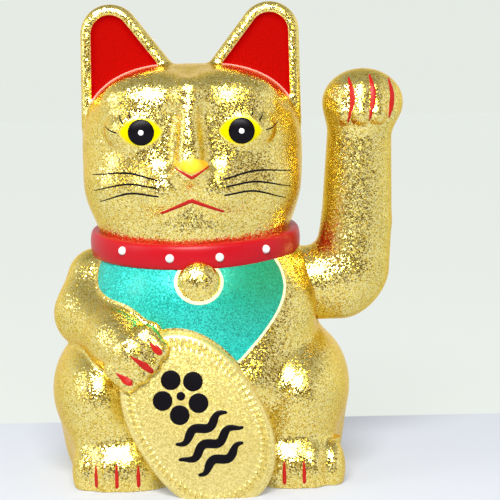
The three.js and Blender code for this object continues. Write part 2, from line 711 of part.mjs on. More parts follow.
function uprightWall(x) {
  const { thick, halfY, halfUpright, bottom, rail, top } = FRAME;
  const shoulder = top - halfUpright;
  return union([
    box(x, x + thick, -halfUpright, halfUpright, bottom, shoulder),
    rod(halfUpright, x, x + thick, "x", [0, 0, shoulder]),
    box(x, x + thick, -halfY, halfY, bottom, bottom + rail),
  ]);
}

// The rail across one end of the frame, with its screw tab.
function endRail(side) {
  const { x0, x1, halfY, tabY, tabInset, tabThick, bottom, rail, boardGap } = FRAME;
  const across = (from, to) => [Math.min(side * from, side * to), Math.max(side * from, side * to)];
  const bar = box(x0, x1, ...across(BOARD.halfY + boardGap, halfY), bottom, bottom + rail);
  const tab = box(x0 + tabInset, x1 - tabInset, ...across(halfY - 1, tabY), bottom, bottom + tabThick);
  return bar.add(tab);
}

function addMechanismFrame(parent) {
  const { x0, x1, thick, screwHole } = FRAME;
  const whole = union([uprightWall(x0), uprightWall(x1 - thick), endRail(-1), endRail(1)]);
  const bearings = rod(BUSH.radius + BUSH.fit, x0 - 1, x1 + 1, "x", [0, 0, ARM_Z]);
  const holes = frameScrewCentres().map((p) => (
    rod(screwHole, 0, BOSS_TOP, "z", [p.x, p.y, 0], BORE_SIDES)
  ));
  addPiece(parent, "mechanism_frame", cut(whole, [bearings, ...holes]), whitePlastic());
}

function bush(wallX, outward) {
  const { radius, flange, flangeThick } = BUSH;
  const near = -GAP;
  const far = FRAME.thick + GAP;
  const profile = [
    [AXLE.radius + FIT, near], [radius, near], [radius, far], [flange, far],
    [flange, far + flangeThick], [AXLE.radius + FIT, far + flangeThick], [AXLE.radius + FIT, near],
  ].map(([r, h]) => [r, outward * h]);
  return turned(profile, "x", [wallX, 0, ARM_Z]);
}

function addBushes(parent) {
  const look = material(COLOURS.brass, 0.35, 1.0);
  addPiece(parent, "axle_bush_inner", bush(FRAME.x0 + FRAME.thick, -1), look);
  addPiece(parent, "axle_bush_outer", bush(FRAME.x1, -1), look);
}

// ---- screws ------------------------------------------------------------------------------

// A cross-head screw from the height of its head to the height of its point.
function screw(at, headZ, pointZ) {
  const { head: headRadius, headHeight, shank, tip, slotLong, slotWide, slotDeep } = SCREW;
  const length = Math.abs(pointZ - headZ);
  const profile = [
    [0, 0], [headRadius, 0], [headRadius, headHeight * 0.5], [shank, headHeight],
    [shank, length - tip], [0, length],
  ].map(([r, h]) => [r, headZ + Math.sign(pointZ - headZ) * h]);
  const body = turned(profile, "z", [at.x, at.y, 0], BORE_SIDES);
  const slots = [[slotLong, slotWide], [slotWide, slotLong]].map(([x, y]) => (
    box(at.x - x, at.x + x, at.y - y, at.y + y, headZ - slotDeep, headZ + slotDeep)
  ));
  return cut(body, slots);
}

function addBaseScrews(parent) {
  bossCentres().forEach((at, i) => {
    addPiece(parent, `base_screw_${i + 1}`, screw(at, GAP, SCREW.top), steel());
  });
}

function addFrameScrews(parent) {
  frameScrewCentres().forEach((at, i) => {
    const piece = screw(at, FRAME_SCREW.head, FRAME_SCREW.tip);
    addPiece(parent, `frame_screw_${i + 1}`, piece, steel());
  });
}

// ---- base plate, battery door and switch -------------------------------------------------

function plateOutline() {
  const middle = new THREE.Vector3(0, MIDDLE_Y, 0);
  return cavityRows()[1].map((p) => {
    const out = new THREE.Vector3(p.x, p.y, 0).sub(middle);
    return out.setLength(out.length() - PLATE_MARGIN).add(middle);
  });
}

function basePlateBlank() {
  const low = plateOutline();
  const high = low.map((p) => new THREE.Vector3(p.x, p.y, PLATE));
  const underneath = new THREE.Vector3(0, MIDDLE_Y, 0);
  return skin([low, high], underneath, new THREE.Vector3(0, MIDDLE_Y, PLATE));
}

// The battery well's room, the door's opening and its hinge bore.
function batteryOpenings() {
  const { x0, x1, y0, y1, top, wall } = WELL;
  const { sideGap, swingGap, pin, pinOut, hingeY, hingeZ } = DOOR;
  const room = box(x0 + wall, x1 - wall, y0 + wall, y1 - wall, DOOR.thick, top - wall);
  const left = DOOR.x0 - sideGap;
  const right = DOOR.x1 + sideGap;
  const opening = box(left, right, DOOR.y0 - sideGap, DOOR.y1 + swingGap, -1, PLATE);
  const reachOut = pinOut + GAP;
  const hinge = rod(pin + SCREW_FIT, DOOR.x0 - reachOut, DOOR.x1 + reachOut, "x", [0, hingeY, hingeZ]);
  return [room, opening, hinge];
}

function screwOpenings() {
  const bases = bossCentres().flatMap((p) => [
    rod(SCREW.head + GAP, -1, SCREW.headHeight + 0.5, "z", [p.x, p.y, 0]),
    rod(SCREW.shank + GAP, -1, PLATE + 1, "z", [p.x, p.y, 0], BORE_SIDES),
  ]);
  const frames = frameScrewCentres().map((p) => (
    rod(SCREW.shank + SCREW_FIT, FRAME_SCREW.tip - FIT, PLATE + 1, "z", [p.x, p.y, 0], BORE_SIDES)
  ));
  return [...bases, ...frames];
}

// The room a switch knob sweeps, between two heights.
function knobTrack(bottom, top) {
  const { x, y, travel } = SWITCH;
  const halfX = KNOB.halfX + KNOB.clearance;
  const halfY = KNOB.halfY + KNOB.clearance;
  return box(x - halfX, x + halfX, y - halfY, y + halfY + travel, bottom, top);
}

function addBasePlate(parent) {
  const { x0, x1, y0, y1, top, wall } = WELL;
  const well = box(x0, x1, y0, y1, PLATE - 1, top);
  const { radius, z, ends } = WIRE_HOLE;
  const wireHoles = ends.map((y) => rod(radius, x1 - wall - 1, x1 + 1, "x", [0, y, z], 12));
  const openings = [...batteryOpenings(), ...screwOpenings(), ...wireHoles, knobTrack(-1, PLATE + 1)];
  addPiece(parent, "base_plate", cut(basePlateBlank().add(well), openings), blackPlastic());
}

function addBatteryDoor(parent) {
  const { x0, x1, y0, y1, thick, hingeY, hingeZ, pin, pinOut } = DOOR;
  const panel = box(x0, x1, y0, y1, 0.0, thick);
  const pins = rod(pin, x0 - pinOut, x1 + pinOut, "x", [0, hingeY, hingeZ]);
  const notchY = y0 + THUMB.from;
  const { half, long, deep } = THUMB;
  const notch = box(CELL.x - half, CELL.x + half, notchY, notchY + long, -1, deep);
  addPiece(parent, "battery_door", panel.add(pins).subtract(notch), blackPlastic());
}

function addSwitch(parent) {
  const { x, y, length, width, bottom, top } = SWITCH;
  const body = box(x - width / 2, x + width / 2, y - length / 2, y + length / 2, bottom, top);
  const track = knobTrack(bottom - 1, KNOB.top + KNOB.clearance);
  addPiece(parent, "switch_body", body.subtract(track), steel());
  const knob = box(x - KNOB.halfX, x + KNOB.halfX, y - KNOB.halfY, y + KNOB.halfY, KNOB.bottom, KNOB.top);
  addPiece(parent, "switch_knob", knob, blackPlastic());
}

// ---- battery and its contacts ------------------------------------------------------------

function addBattery(parent) {
  const { x, z, radius, from, to, nub, nubHeight } = CELL;
  const profile = [
    [0, from], [radius - 0.4, from], [radius, from + 0.4], [radius, to - 0.6],
    [radius - 0.6, to], [nub, to], [nub, to + nubHeight], [0, to + nubHeight],
  ];
  addPiece(parent, "battery_cell", turned(profile, "y", [x, 0, z]), material(COLOURS.blue, 0.35, 0.4));

  const { half, thick, bottom, top } = CONTACT;
  const near = to + nubHeight + GAP;
  addPiece(parent, "battery_contact", box(x - half, x + half, near, near + thick, bottom, top), steel());
}

class SpringCurve extends THREE.Curve {
  getPoint(t, target = new THREE.Vector3()) {
    const angle = t * SPRING.turns * 2 * Math.PI;
    const radius = THREE.MathUtils.lerp(SPRING.wide, SPRING.narrow, t);
    const y = THREE.MathUtils.lerp(WELL.y0 + WELL.wall + 1.0, CELL.from - 1.0, t);
    return target.set(CELL.x + radius * Math.cos(angle), y, CELL.z + radius * Math.sin(angle));
  }
}

function roundSection(radius, sides) {
  return new THREE.Shape(ring(sides, (i) => {
    const angle = (i / sides) * 2 * Math.PI;
    return new THREE.Vector2(radius * Math.cos(angle), radius * Math.sin(angle));
  }));
}

function tube(curve, radius, sides, steps) {
  const options = { steps, extrudePath: curve, bevelEnabled: false };
  return solid(new THREE.ExtrudeGeometry(roundSection(radius, sides), options));
}

function addSpring(parent) {
  addPiece(parent, "battery_spring", tube(new SpringCurve(), SPRING.wire, 5, 54), steel());
}

// ---- circuit board and coil --------------------------------------------------------------

function addCircuitBoard(parent) {
  const { x0, x1, halfY, bottom, top } = BOARD;
  const board = box(x0, x1, -halfY, halfY, bottom, top);
  addPiece(parent, "circuit_board", board, material(COLOURS.green, 0.5, 0.0));
}

function addChip(parent) {
  const { x0, x1, y0, y1, thick, lift } = CHIP;
  const { count, inset, half, reach: out, low, high } = CHIP_LEGS;
  const z = BOARD.top;
  const body = box(x0, x1, y0, y1, z + lift, z + lift + thick);
  const legs = levels(x0 + inset, x1 - inset, count).map((x) => (
    box(x - half, x + half, y0 - out, y1 + out, z + low, z + high)
  ));
  addPiece(parent, "driver_chip", union([body, ...legs]), blackPlastic());
}

function addCapacitor(parent) {
  const { x, y, radius, height } = CAPACITOR;
  const can = [
    [0, 0], [radius - 0.1, 0], [radius, 0.4], [radius, height - 0.6], [radius - 0.3, height], [0, height],
  ];
  addPiece(parent, "capacitor", turned(can, "z", [x, y, BOARD.top + FIT], 20), blackPlastic());
}

function addCoil(parent) {
  const { x, radius, bottom, top, hub, bore } = COIL;
  const bobbin = turned([
    [bore, bottom], [radius, bottom], [radius, bottom + 1], [hub, bottom + 1],
    [hub, top - 1], [radius, top - 1], [radius, top], [bore, top], [bore, bottom],
  ], "z", [x, 0, 0]);
  addPiece(parent, "coil_bobbin", bobbin, whitePlastic());
  const low = bottom + 1.2;
  const high = top - 1.2;
  const winding = turned([
    [hub + 0.2, low], [radius - 0.7, low], [radius - 0.7, high], [hub + 0.2, high], [hub + 0.2, low],
  ], "z", [x, 0, 0]);
  addPiece(parent, "coil_winding", winding, copper());
}

// ---- wires -------------------------------------------------------------------------------

function wire(points) {
  const path = new THREE.CatmullRomCurve3(points.map((p) => new THREE.Vector3(...p)));
  return tube(path, WIRE_RADIUS, 5, 18);
}

function addWires(parent) {
  const landing = BOARD.top + 0.2;
  const positive = wire([
    [-11.6, 29.0, 17.0], [-8.0, 29.0, 17.0], [-5.0, 27.5, 15.0], [-1.0, 20.0, 12.0],
    [4.0, 13.0, 10.5], [7.2, 9.0, 8.0], [7.2, 8.4, landing],
  ]);
  addPiece(parent, "wire_positive", positive, material(COLOURS.red, 0.5, 0.0));
  const negative = wire([
    [-11.6, -24.5, 17.0], [-8.0, -24.5, 17.0], [-5.0, -23.5, 14.5], [-1.0, -19.0, 11.0],
    [4.0, -12.0, 10.0], [7.2, -9.4, 7.6], [7.2, -9.0, landing],
  ]);
  addPiece(parent, "wire_negative", negative, blackPlastic());
  const lead = wire([
    [COIL.x + 2.0, -9.2, COIL.bottom + 5.0], [COIL.x + 2.6, -10.6, COIL.bottom + 4.4],
    [COIL.x + 3.0, -11.4, COIL.bottom + 2.0], [COIL.x + 3.0, -11.6, landing],
  ]);
  addPiece(parent, "wire_coil", lead, copper());
}

// ---- assembly ----------------------------------------------------------------------------

const armGroup = new THREE.Group();
armGroup.name = "arm_group";

addBodyShells(cat);
addBasePlate(cat);
addBaseScrews(cat);
addBatteryDoor(cat);
addBattery(cat);
addSpring(cat);
addSwitch(cat);
addMechanismFrame(cat);
addFrameScrews(cat);
addBushes(cat);
addCircuitBoard(cat);
addChip(cat);
addCapacitor(cat);
addCoil(cat);
addWires(cat);
addArmShells(armGroup);
addArmSocket(armGroup);
addAxle(armGroup);
addPendulum(armGroup);
cat.add(armGroup);

export default cat;
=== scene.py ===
import json
import math

import bmesh
import bpy
import numpy as np
from mathutils import Matrix, Vector
from mathutils.bvhtree import BVHTree


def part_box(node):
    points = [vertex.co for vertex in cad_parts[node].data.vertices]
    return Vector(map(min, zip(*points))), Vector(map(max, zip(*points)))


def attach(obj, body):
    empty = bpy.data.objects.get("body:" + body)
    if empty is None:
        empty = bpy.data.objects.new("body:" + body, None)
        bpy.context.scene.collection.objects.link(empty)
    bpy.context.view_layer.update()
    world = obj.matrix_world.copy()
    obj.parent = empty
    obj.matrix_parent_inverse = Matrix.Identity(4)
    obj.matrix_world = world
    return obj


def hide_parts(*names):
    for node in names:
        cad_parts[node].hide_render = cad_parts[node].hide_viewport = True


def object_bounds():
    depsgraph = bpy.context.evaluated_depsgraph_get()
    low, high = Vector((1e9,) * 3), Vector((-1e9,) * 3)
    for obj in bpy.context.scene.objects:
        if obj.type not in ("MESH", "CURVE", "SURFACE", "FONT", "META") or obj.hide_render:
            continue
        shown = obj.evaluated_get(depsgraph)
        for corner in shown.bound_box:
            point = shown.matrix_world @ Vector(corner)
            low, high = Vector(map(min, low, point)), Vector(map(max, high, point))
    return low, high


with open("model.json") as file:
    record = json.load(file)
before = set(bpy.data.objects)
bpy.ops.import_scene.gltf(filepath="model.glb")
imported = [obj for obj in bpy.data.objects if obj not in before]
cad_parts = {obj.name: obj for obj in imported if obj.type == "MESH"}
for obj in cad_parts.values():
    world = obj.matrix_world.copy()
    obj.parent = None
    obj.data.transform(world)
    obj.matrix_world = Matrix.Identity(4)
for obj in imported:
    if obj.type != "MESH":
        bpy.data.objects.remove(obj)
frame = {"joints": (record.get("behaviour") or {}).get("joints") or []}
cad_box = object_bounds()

# ---- driving dimensions, in millimetres ----

MM = 0.001  # the sculpt is worked out in millimetres and becomes metres in make_piece
SKIN_STEP = 0.72  # spacing of the grid that the moulded skins are drawn on
BLOCK = 4  # grid cells along one side of a block that is sampled or skipped as a whole
BATCH = 4000  # blocks that are sampled in one go

GAP = 0.3  # the parting line between the two halves of a moulding
FAR = 200.0  # beyond every part of the object
WALL, ARM_WALL = 2.4, 2.2
LEAST_WALL = 1.5  # kept even in the creases
HOLLOW_STEP = 1.8  # the hollows are drawn more coarsely
HOLLOW_Y, HOLLOW_START = -1.0, -2.0  # the hollow's middle, and its lower end below the ground
PLATE = 3.0
FACE_Y = -60.0  # a plane in front of everything, from which painted details are thrown back

HEAD_X = -1.5
HEAD_Z = 127.0
HEAD_TOP = 161.4
HEAD_SIDE, HEAD_DEPTH, HEAD_ABOVE, HEAD_BELOW = 43.4, 38.5, 34.6, 46.0
NECK_Z = 96.0
EAR_CORNERS = ((31.3, 173.6), (31.6, 140.0), (6.5, 141.5))  # centres of the rounded corners
EAR_ROUND = 11.6
EAR_RIM = 3.9
EAR_Y = 1.5
EAR_REFLECTION_REACH = 4.0  # how far the painted reflection of the red ears reaches over the crown

COLLAR_X, COLLAR_Z, COLLAR_TILT = -1.2, 92.0, 0.075
COLLAR_SIDE, COLLAR_DEPTH = 39.4, 37.8
COLLAR_HALF_HEIGHT, COLLAR_SWELL, COLLAR_FULLNESS = 4.9, 2.9, 0.42
COLLAR_ROOT, COLLAR_EDGE = 5.0, 0.6  # how deep the band's back and its edges are sunk into the neck
STUDS = ((-40.4, 1.6), (-12.0, 0.0), (14.1, 0.0), (41.6, 1.0))  # angle from the front, height on the band
STUD_RADIUS = 1.65
BELL_AT = (0.9, -40.0, 79.5)
BELL_RADII = (8.2, 5.5, 8.2)

TABLET_AT = np.array((-0.6, -45.2, 27.6))
TABLET_LONG, TABLET_SHORT = 36.2, 24.5
TABLET_TURN, TABLET_LEAN = math.radians(31.4), math.radians(9.0)
TABLET_FRONT, TABLET_BACK = 6.4, 15.0
TABLET_SQUARENESS = 2.25
TABLET_EDGE = 2.6
RIM = (0.80, 0.93)  # the ribbed band of the tablet, as shares of its size
RIDGES, RIDGE_HEIGHT = 74, 0.32

LEFT_FOOT = {"x": 30.0, "half": 20.0, "grooves": (23.8, 32.0, 40.1)}
RIGHT_FOOT = {"x": 35.8, "half": 17.2, "grooves": (31.8, 39.3, 47.0)}

SKINNED_NODES = ("front_shell", "rear_shell", "arm_front_shell", "arm_rear_shell")

ARM_Z = next(joint["pos_m"][2] for joint in frame["joints"] if joint["name"] == "arm_swing") / MM
ARM_ROOT_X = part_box("arm_front_shell")[0].x / MM
POCKET_RADIUS, POCKET_X, POCKET_WALL, POCKET_END = 15.6, 34.6, 2.8, 70.0
ARM_BORE, ARM_BORE_END = 4.3, 38.1  # room for the socket inside the arm
AXLE_BORE = 2.6
BOSS_RADIUS, BOSS_TOP = 5.2, 17.0
SCREW_BORE, SCREW_BORE_TOP = 1.55, 14.5
PAW_AT, PAW_RADII = (66.0, -3.0, 145.0), (15.9, 13.6, 13.4)
PAW_TOES = (-39.0, -7.0, 24.0, 54.0)  # directions of the toes from straight ahead, in degrees
PAW_TOE_REACH = (11.4, 11.2)  # from the middle of the paw, sideways and forward


# ---- the sculpt: signed distances, less than zero inside ----

def turns(count):
    """Angles evenly round a circle."""
    return np.linspace(0.0, 2 * math.pi, count, endpoint=False)


def blend(a, b, radius):
    """The two forms joined with a soft valley of this radius."""
    share = np.clip(0.5 + 0.5 * (b - a) / radius, 0.0, 1.0)
    return b + (a - b) * share - radius * share * (1.0 - share)


def grown(form, *parts):
    """The form with each part, given with the radius of its valley, joined on in turn."""
    for part, radius in parts:
        form = blend(form, part, radius)
    return form


def carve(a, b, radius):
    """Form a with form b scooped out of it."""
    return -blend(-a, b, radius)


def ellipsoid(p, at, radii):
    offset = [p[i] - at[i] for i in range(3)]
    scaled = np.sqrt(sum((offset[i] / radii[i]) ** 2 for i in range(3)))
    slope = np.sqrt(sum((offset[i] / radii[i] ** 2) ** 2 for i in range(3))) + 1e-9
    return scaled * (scaled - 1.0) / slope


def round_cone(p, start, end, start_radius, end_radius):
    along = [end[i] - start[i] for i in range(3)]
    length_squared = sum(v * v for v in along)
    t = np.clip(sum((p[i] - start[i]) * along[i] for i in range(3)) / length_squared, 0.0, 1.0)
    distance = np.sqrt(sum((p[i] - start[i] - along[i] * t) ** 2 for i in range(3)))
    return distance - (start_radius + (end_radius - start_radius) * t)


def super_egg(p, at, radii, side, front):
    """A rounded box: front shapes its outline from the front, side shapes its depth."""
    x, y, z = (np.abs(p[i] - at[i]) / radii[i] for i in range(3))
    outline = (x ** front + z ** front) ** (1.0 / front)
    return ((outline ** side + y ** side) ** (1.0 / side) - 1.0) * min(radii)


def polygon(x, z, corners):
    """Signed distance in the front view to a polygon."""
    nearest, inside = None, False
    for i, corner in enumerate(corners):
        following = corners[(i + 1) % len(corners)]
        edge_x, edge_z = following[0] - corner[0], following[1] - corner[1]
        from_x, from_z = x - corner[0], z - corner[1]
        t = np.clip((from_x * edge_x + from_z * edge_z) / (edge_x ** 2 + edge_z ** 2), 0.0, 1.0)
        distance = (from_x - edge_x * t) ** 2 + (from_z - edge_z * t) ** 2
        beside = ((corner[1] > z) != (following[1] > z)) & (from_x < edge_x * from_z / (edge_z or 1.0))
        nearest = distance if nearest is None else np.minimum(nearest, distance)
        inside = inside ^ beside
    distance = np.sqrt(nearest)
    return np.where(inside, -distance, distance)


def rounded(a, b, radius):
    """The part that two forms share, with a rounded edge."""
    over_a, over_b = a + radius, b + radius
    outside = np.hypot(np.maximum(over_a, 0.0), np.maximum(over_b, 0.0))
    return np.minimum(np.maximum(over_a, over_b), 0.0) + outside - radius


def head(p):
    upper = super_egg(p, (HEAD_X, 0, HEAD_Z), (HEAD_SIDE, HEAD_DEPTH, HEAD_ABOVE), 2.25, 2.6)
    lower = super_egg(p, (HEAD_X, 0, HEAD_Z), (HEAD_SIDE, HEAD_DEPTH, HEAD_BELOW), 2.25, 2.6)
    form = np.where(p[2] > HEAD_Z, upper, lower)
    q = (np.abs(p[0] - HEAD_X), p[1], p[2])
    eye_hollow = ellipsoid(q, (19.5, -43.8, 136.5), (13.0, 6.5, 10.0))
    beside_nose = round_cone(q, (7.4, -39.8, 143.0), (9.2, -41.4, 127.0), 3.4, 3.6)
    bridge = round_cone(q, (0.0, -33.0, 151.0), (0.0, -37.0, 126.0), 5.2, 6.0)
    brow = ellipsoid(q, (15.0, -24.6, 148.5), (16.5, 8.5, 9.0))
    eye = ellipsoid(q, (19.4, -29.5, 137.0), (12.8, 7.4, 8.6))
    muzzle = ellipsoid(q, (9.5, -29.5, 114.5), (12.5, 11.5, 10.0))
    nose = ellipsoid(q, (0.0, -37.5, 121.8), (7.0, 6.3, 5.4))
    chin = ellipsoid(q, (0.0, -26.8, 103.0), (12.0, 9.0, 7.0))
    cheek = ellipsoid(q, (26.0, -16.0, 115.0), (13.0, 16.0, 13.0))
    throat = ellipsoid(q, (0.0, 0.0, 97.0), (33.0, 36.5, 15.0))
    form = grown(carve(form, eye_hollow, 6.0), (bridge, 7.0), (brow, 10.0), (eye, 2.0), (muzzle, 6.0),
                 (nose, 3.5), (chin, 6.0), (cheek, 8.0), (throat, 8.0))
    return carve(form, beside_nose, 4.0)


def ears(p):
    """Rounded triangles, thinner towards the tip and scooped out in front."""
    x = np.abs(p[0] - HEAD_X)
    corner_distance = polygon(x, p[2], EAR_CORNERS)
    half_thickness = 7.6 - 0.075 * (p[2] - 150.0)
    slab = rounded(corner_distance - EAR_ROUND, np.abs(p[1] - EAR_Y) - half_thickness, 2.5)
    front = p[1] - (EAR_Y - half_thickness)
    scoop = rounded(corner_distance - (EAR_ROUND - EAR_RIM), front - 2.0, 3.0)
    return carve(slab, scoop, 1.0)


def torso(p):
    trunk = super_egg(p, (0, 1.0, 48.0), (47.0, 42.0, 62.0), 2.3, 2.4)
    seat = super_egg(p, (0, 5.0, 8.0), (50.0, 36.5, 17.0), 2.6, 3.2)
    chest = ellipsoid(p, (0, -10.0, 70.0), (37.0, 33.5, 26.0))
    belly = ellipsoid(p, (0, -12.0, 44.0), (32.0, 32.0, 30.0))
    shoulder = ellipsoid(p, (36.0, -1.0, 72.0), (12.0, 17.5, 17.0))
    return grown(trunk, (seat, 8.0), (chest, 8.0), (belly, 8.0), (shoulder, 4.0))


def haunch(p, side):
    q = (p[0] * side, p[1], p[2])
    thigh = ellipsoid(q, (38.6, -5.0, 34.0), (20.4, 38.5, 24.5))
    rump = ellipsoid(q, (33.5, 9.0, 16.0), (23.5, 31.0, 30.0))
    shin = ellipsoid(q, (31.0, -19.0, 24.0), (20.0, 20.5, 15.0))
    return grown(thigh, (rump, 8.0), (shin, 6.0))


def foot(p, side, shape):
    q = (p[0] * side, p[1], p[2])
    grooves = shape["grooves"]
    pitch = grooves[1] - grooves[0]
    form = super_egg(q, (shape["x"], -22.0, 6.0), (shape["half"], 22.0, 15.6), 2.5, 2.7)
    for toe in range(4):
        back = 2.2 * abs(toe - 1.5) ** 1.3
        x = grooves[0] + pitch * (toe - 0.5)
        form = blend(form, ellipsoid(q, (x, back - 35.6, 6.0), (pitch * 0.68, 9.3, 10.6)), 2.0)
    return form


def resting_arm(p):
    upper = round_cone(p, (-40.0, -3.0, 77.0), (-43.0, -9.0, 64.5), 12.5, 13.4)
    lower = round_cone(p, (-43.0, -10.0, 64.0), (-30.0, -34.0, 57.0), 13.2, 11.5)
    paw = round_cone(p, (-30.0, -34.0, 57.0), (-24.5, -43.0, 53.5), 11.5, 10.3)
    form = grown(upper, (lower, 5.0), (paw, 4.0))
    along = np.array((0.66, -0.33, -0.67))
    across = np.array((0.70, 0.05, 0.71))
    for toe in range(4):
        root = np.array((-23.0, -46.3, 52.3)) + across * (toe - 1.5) * 5.7
        length = 5.6 if toe in (1, 2) else 4.4
        form = blend(form, round_cone(p, root - along * 3.0, root + along * length, 4.7, 3.8), 1.8)
    return form


def body_form(p):
    """The body and head without ears, tablet, collar and bell."""
    foreleg = round_cone(p, (32.0, -18.0, 66.0), (21.0, -31.0, 40.0), 13.0, 12.0)
    return grown(torso(p), (haunch(p, -1), 4.0), (haunch(p, 1), 4.0), (foreleg, 6.0),
                 (foot(p, -1, LEFT_FOOT), 5.0), (foot(p, 1, RIGHT_FOOT), 5.0), (resting_arm(p), 2.0),
                 (head(p), 3.0))


def body_surface(p):
    return np.maximum(blend(body_form(p), ears(p), 1.6), -p[2])


def arm_form(p):
    root = round_cone(p, (30.0, 0, ARM_Z), (56.0, 0, ARM_Z + 0.3), 14.7, 14.9)
    elbow = round_cone(p, (60.8, 0, 79.5), (63.2, 0, 98.0), 15.2, 14.0)
    forearm = round_cone(p, (63.2, 0, 98.0), (64.8, -1.0, 136.0), 14.0, 12.6)
    form = grown(root, (elbow, 5.0), (forearm, 0.8), (ellipsoid(p, PAW_AT, PAW_RADII), 4.0))
    for angle in PAW_TOES:
        turn = math.radians(angle)
        x = PAW_AT[0] + PAW_TOE_REACH[0] * math.sin(turn)
        y = PAW_AT[1] - PAW_TOE_REACH[1] * math.cos(turn)
        inward = 0.05 * (x - PAW_AT[0])
        knuckle = (x - 2 * inward, y + 2.6, 151.0 - 3.0 * abs(inward))
        form = blend(form, round_cone(p, knuckle, (x, y, 141.2), 4.2, 4.5), 1.2)
    return form


def arm_surface(p):
    return np.maximum(arm_form(p), ARM_ROOT_X - p[0])


# ---- from a form to a mesh ----

def points_of(form, points):
    return form(tuple(points[..., i] for i in range(3)))


def sample(form, low, high, step):
    """Values of the form on a grid. Blocks far from the surface keep one rough value."""
    blocks = [int(math.ceil((high[i] - low[i]) / (step * BLOCK))) for i in range(3)]
    side = step * BLOCK
    middles = [low[i] + side * (np.arange(blocks[i]) + 0.5) for i in range(3)]
    rough = points_of(form, np.stack(np.meshgrid(*middles, indexing="ij"), -1))
    values = rough.repeat(BLOCK, 0).repeat(BLOCK, 1).repeat(BLOCK, 2)
    near = np.argwhere(np.abs(rough) < side * 1.25)
    inner = np.stack(np.meshgrid(*[np.arange(BLOCK)] * 3, indexing="ij"), -1).reshape(-1, 3)
    for part in np.array_split(near, max(1, len(near) // BATCH)):
        cells = (part[:, None, :] * BLOCK + inner[None, :, :]).reshape(-1, 3)
        values[cells[:, 0], cells[:, 1], cells[:, 2]] = points_of(form, np.array(low) + step * cells)
    return values


CORNERS = [(a, b, c) for a in (0, 1) for b in (0, 1) for c in (0, 1)]


def without_checkers(values, step):
    """The values with chequered squares filled in, so that the net never touches itself along an edge."""
    for axis in range(3):
        across, up = [j for j in range(3) if j != axis]
        square = []
        for shift_across, shift_up in ((0, 0), (1, 0), (1, 1), (0, 1)):
            part = [slice(None)] * 3
            part[across] = slice(1, None) if shift_across else slice(0, -1)
            part[up] = slice(1, None) if shift_up else slice(0, -1)
            square.append(values[tuple(part)])
        a, b, c, d = (corner < 0 for corner in square)
        chequered = (a & c & ~b & ~d) | (b & d & ~a & ~c)
        for corner in square:
            corner[chequered] = np.minimum(corner[chequered], -0.05 * step)
    return values


def surface_net(form, low, high, step):
    """One vertex in each grid cell that the surface crosses, and a quad round each crossed grid edge."""
    values = without_checkers(sample(form, low, high, step), step)
    inside = values < 0
    last = [n - 1 for n in inside.shape]
    count = sum(inside[a:last[0] + a, b:last[1] + b, c:last[2] + c].astype(np.int8) for a, b, c in CORNERS)
    crossed = (count > 0) & (count < 8)
    cells = np.argwhere(crossed)
    number = np.full(crossed.shape, -1)
    number[crossed] = np.arange(len(cells))
    place = np.zeros((len(cells), 3))
    hits = np.zeros(len(cells))
    for i, start in enumerate(CORNERS):
        for end in CORNERS[i + 1:]:
            if sum(abs(start[j] - end[j]) for j in range(3)) != 1:
                continue
            here = values[tuple((cells + start).T)]
            there = values[tuple((cells + end).T)]
            change = (here < 0) != (there < 0)
            t = np.where(change, here / (here - there + 1e-20), 0.0)
            place += change[:, None] * (np.array(start) + (np.array(end) - np.array(start)) * t[:, None])
            hits += change
    vertices = (place / hits[:, None] + cells) * step + np.array(low)
    faces = [quads_across(inside, number, axis) for axis in range(3)]
    return vertices, np.concatenate(faces)


def quads_across(inside, number, axis):
    others = [j for j in range(3) if j != axis]
    near = [slice(1, -1)] * 3
    far = [slice(1, -1)] * 3
    near[axis], far[axis] = slice(0, -1), slice(1, None)
    here, there = inside[tuple(near)], inside[tuple(far)]
    edges = np.argwhere(here != there)
    outward = here[here != there]
    edges[:, others] += 1

    def cell(back_first, back_second):
        at = edges.copy()
        at[:, others[0]] -= back_first
        at[:, others[1]] -= back_second
        return number[tuple(at.T)]

    quads = np.stack([cell(1, 1), cell(0, 1), cell(0, 0), cell(1, 0)], 1)
    turned = outward if axis == 1 else ~outward
    quads[turned] = quads[turned][:, ::-1]
    return quads


def settled(form, vertices, rounds=2):
    """The vertices moved along the form's slope until they lie on its surface."""
    nudge = 0.05
    for _ in range(rounds):
        value = points_of(form, vertices)
        slope = np.stack([points_of(form, vertices + nudge * np.eye(3)[i]) for i in range(3)], 1)
        slope = (slope - value[:, None]) / nudge
        steepness = np.maximum((slope ** 2).sum(1), 0.2)
        move = -value[:, None] * slope / steepness[:, None]
        length = np.linalg.norm(move, axis=1, keepdims=True)
        vertices = vertices + move * np.minimum(1.0, 0.5 * SKIN_STEP / np.maximum(length, 1e-9))
    return vertices


def make_piece(name, vertices, faces):
    """An object from millimetre vertices and faces."""
    mesh = bpy.data.meshes.new(name)
    faces = faces.tolist() if isinstance(faces, np.ndarray) else faces
    mesh.from_pydata((np.asarray(vertices) * MM).tolist(), [], faces)
    mesh.update()
    piece = bpy.data.objects.new(name, mesh)
    bpy.context.scene.collection.objects.link(piece)
    return piece


# ---- solids that are joined and cut ----

def settle(piece):
    """Applies the piece's modifiers."""
    graph = bpy.context.evaluated_depsgraph_get()
    mesh = bpy.data.meshes.new_from_object(piece.evaluated_get(graph))
    old = piece.data
    piece.modifiers.clear()
    piece.data = mesh
    bpy.data.meshes.remove(old)


def combine(piece, tool, operation):
    modifier = piece.modifiers.new(operation.lower(), "BOOLEAN")
    modifier.solver = "MANIFOLD"
    modifier.operation = operation
    modifier.object = tool
    settle(piece)
    mesh = tool.data
    bpy.data.objects.remove(tool)
    bpy.data.meshes.remove(mesh)


def skin(name, rings, start, end):
    """A closed solid from rings of points and a pole at each end."""
    piece = make_piece(name, *ringed_mesh([(rings, start, end)]))
    face_outward(piece)
    return piece


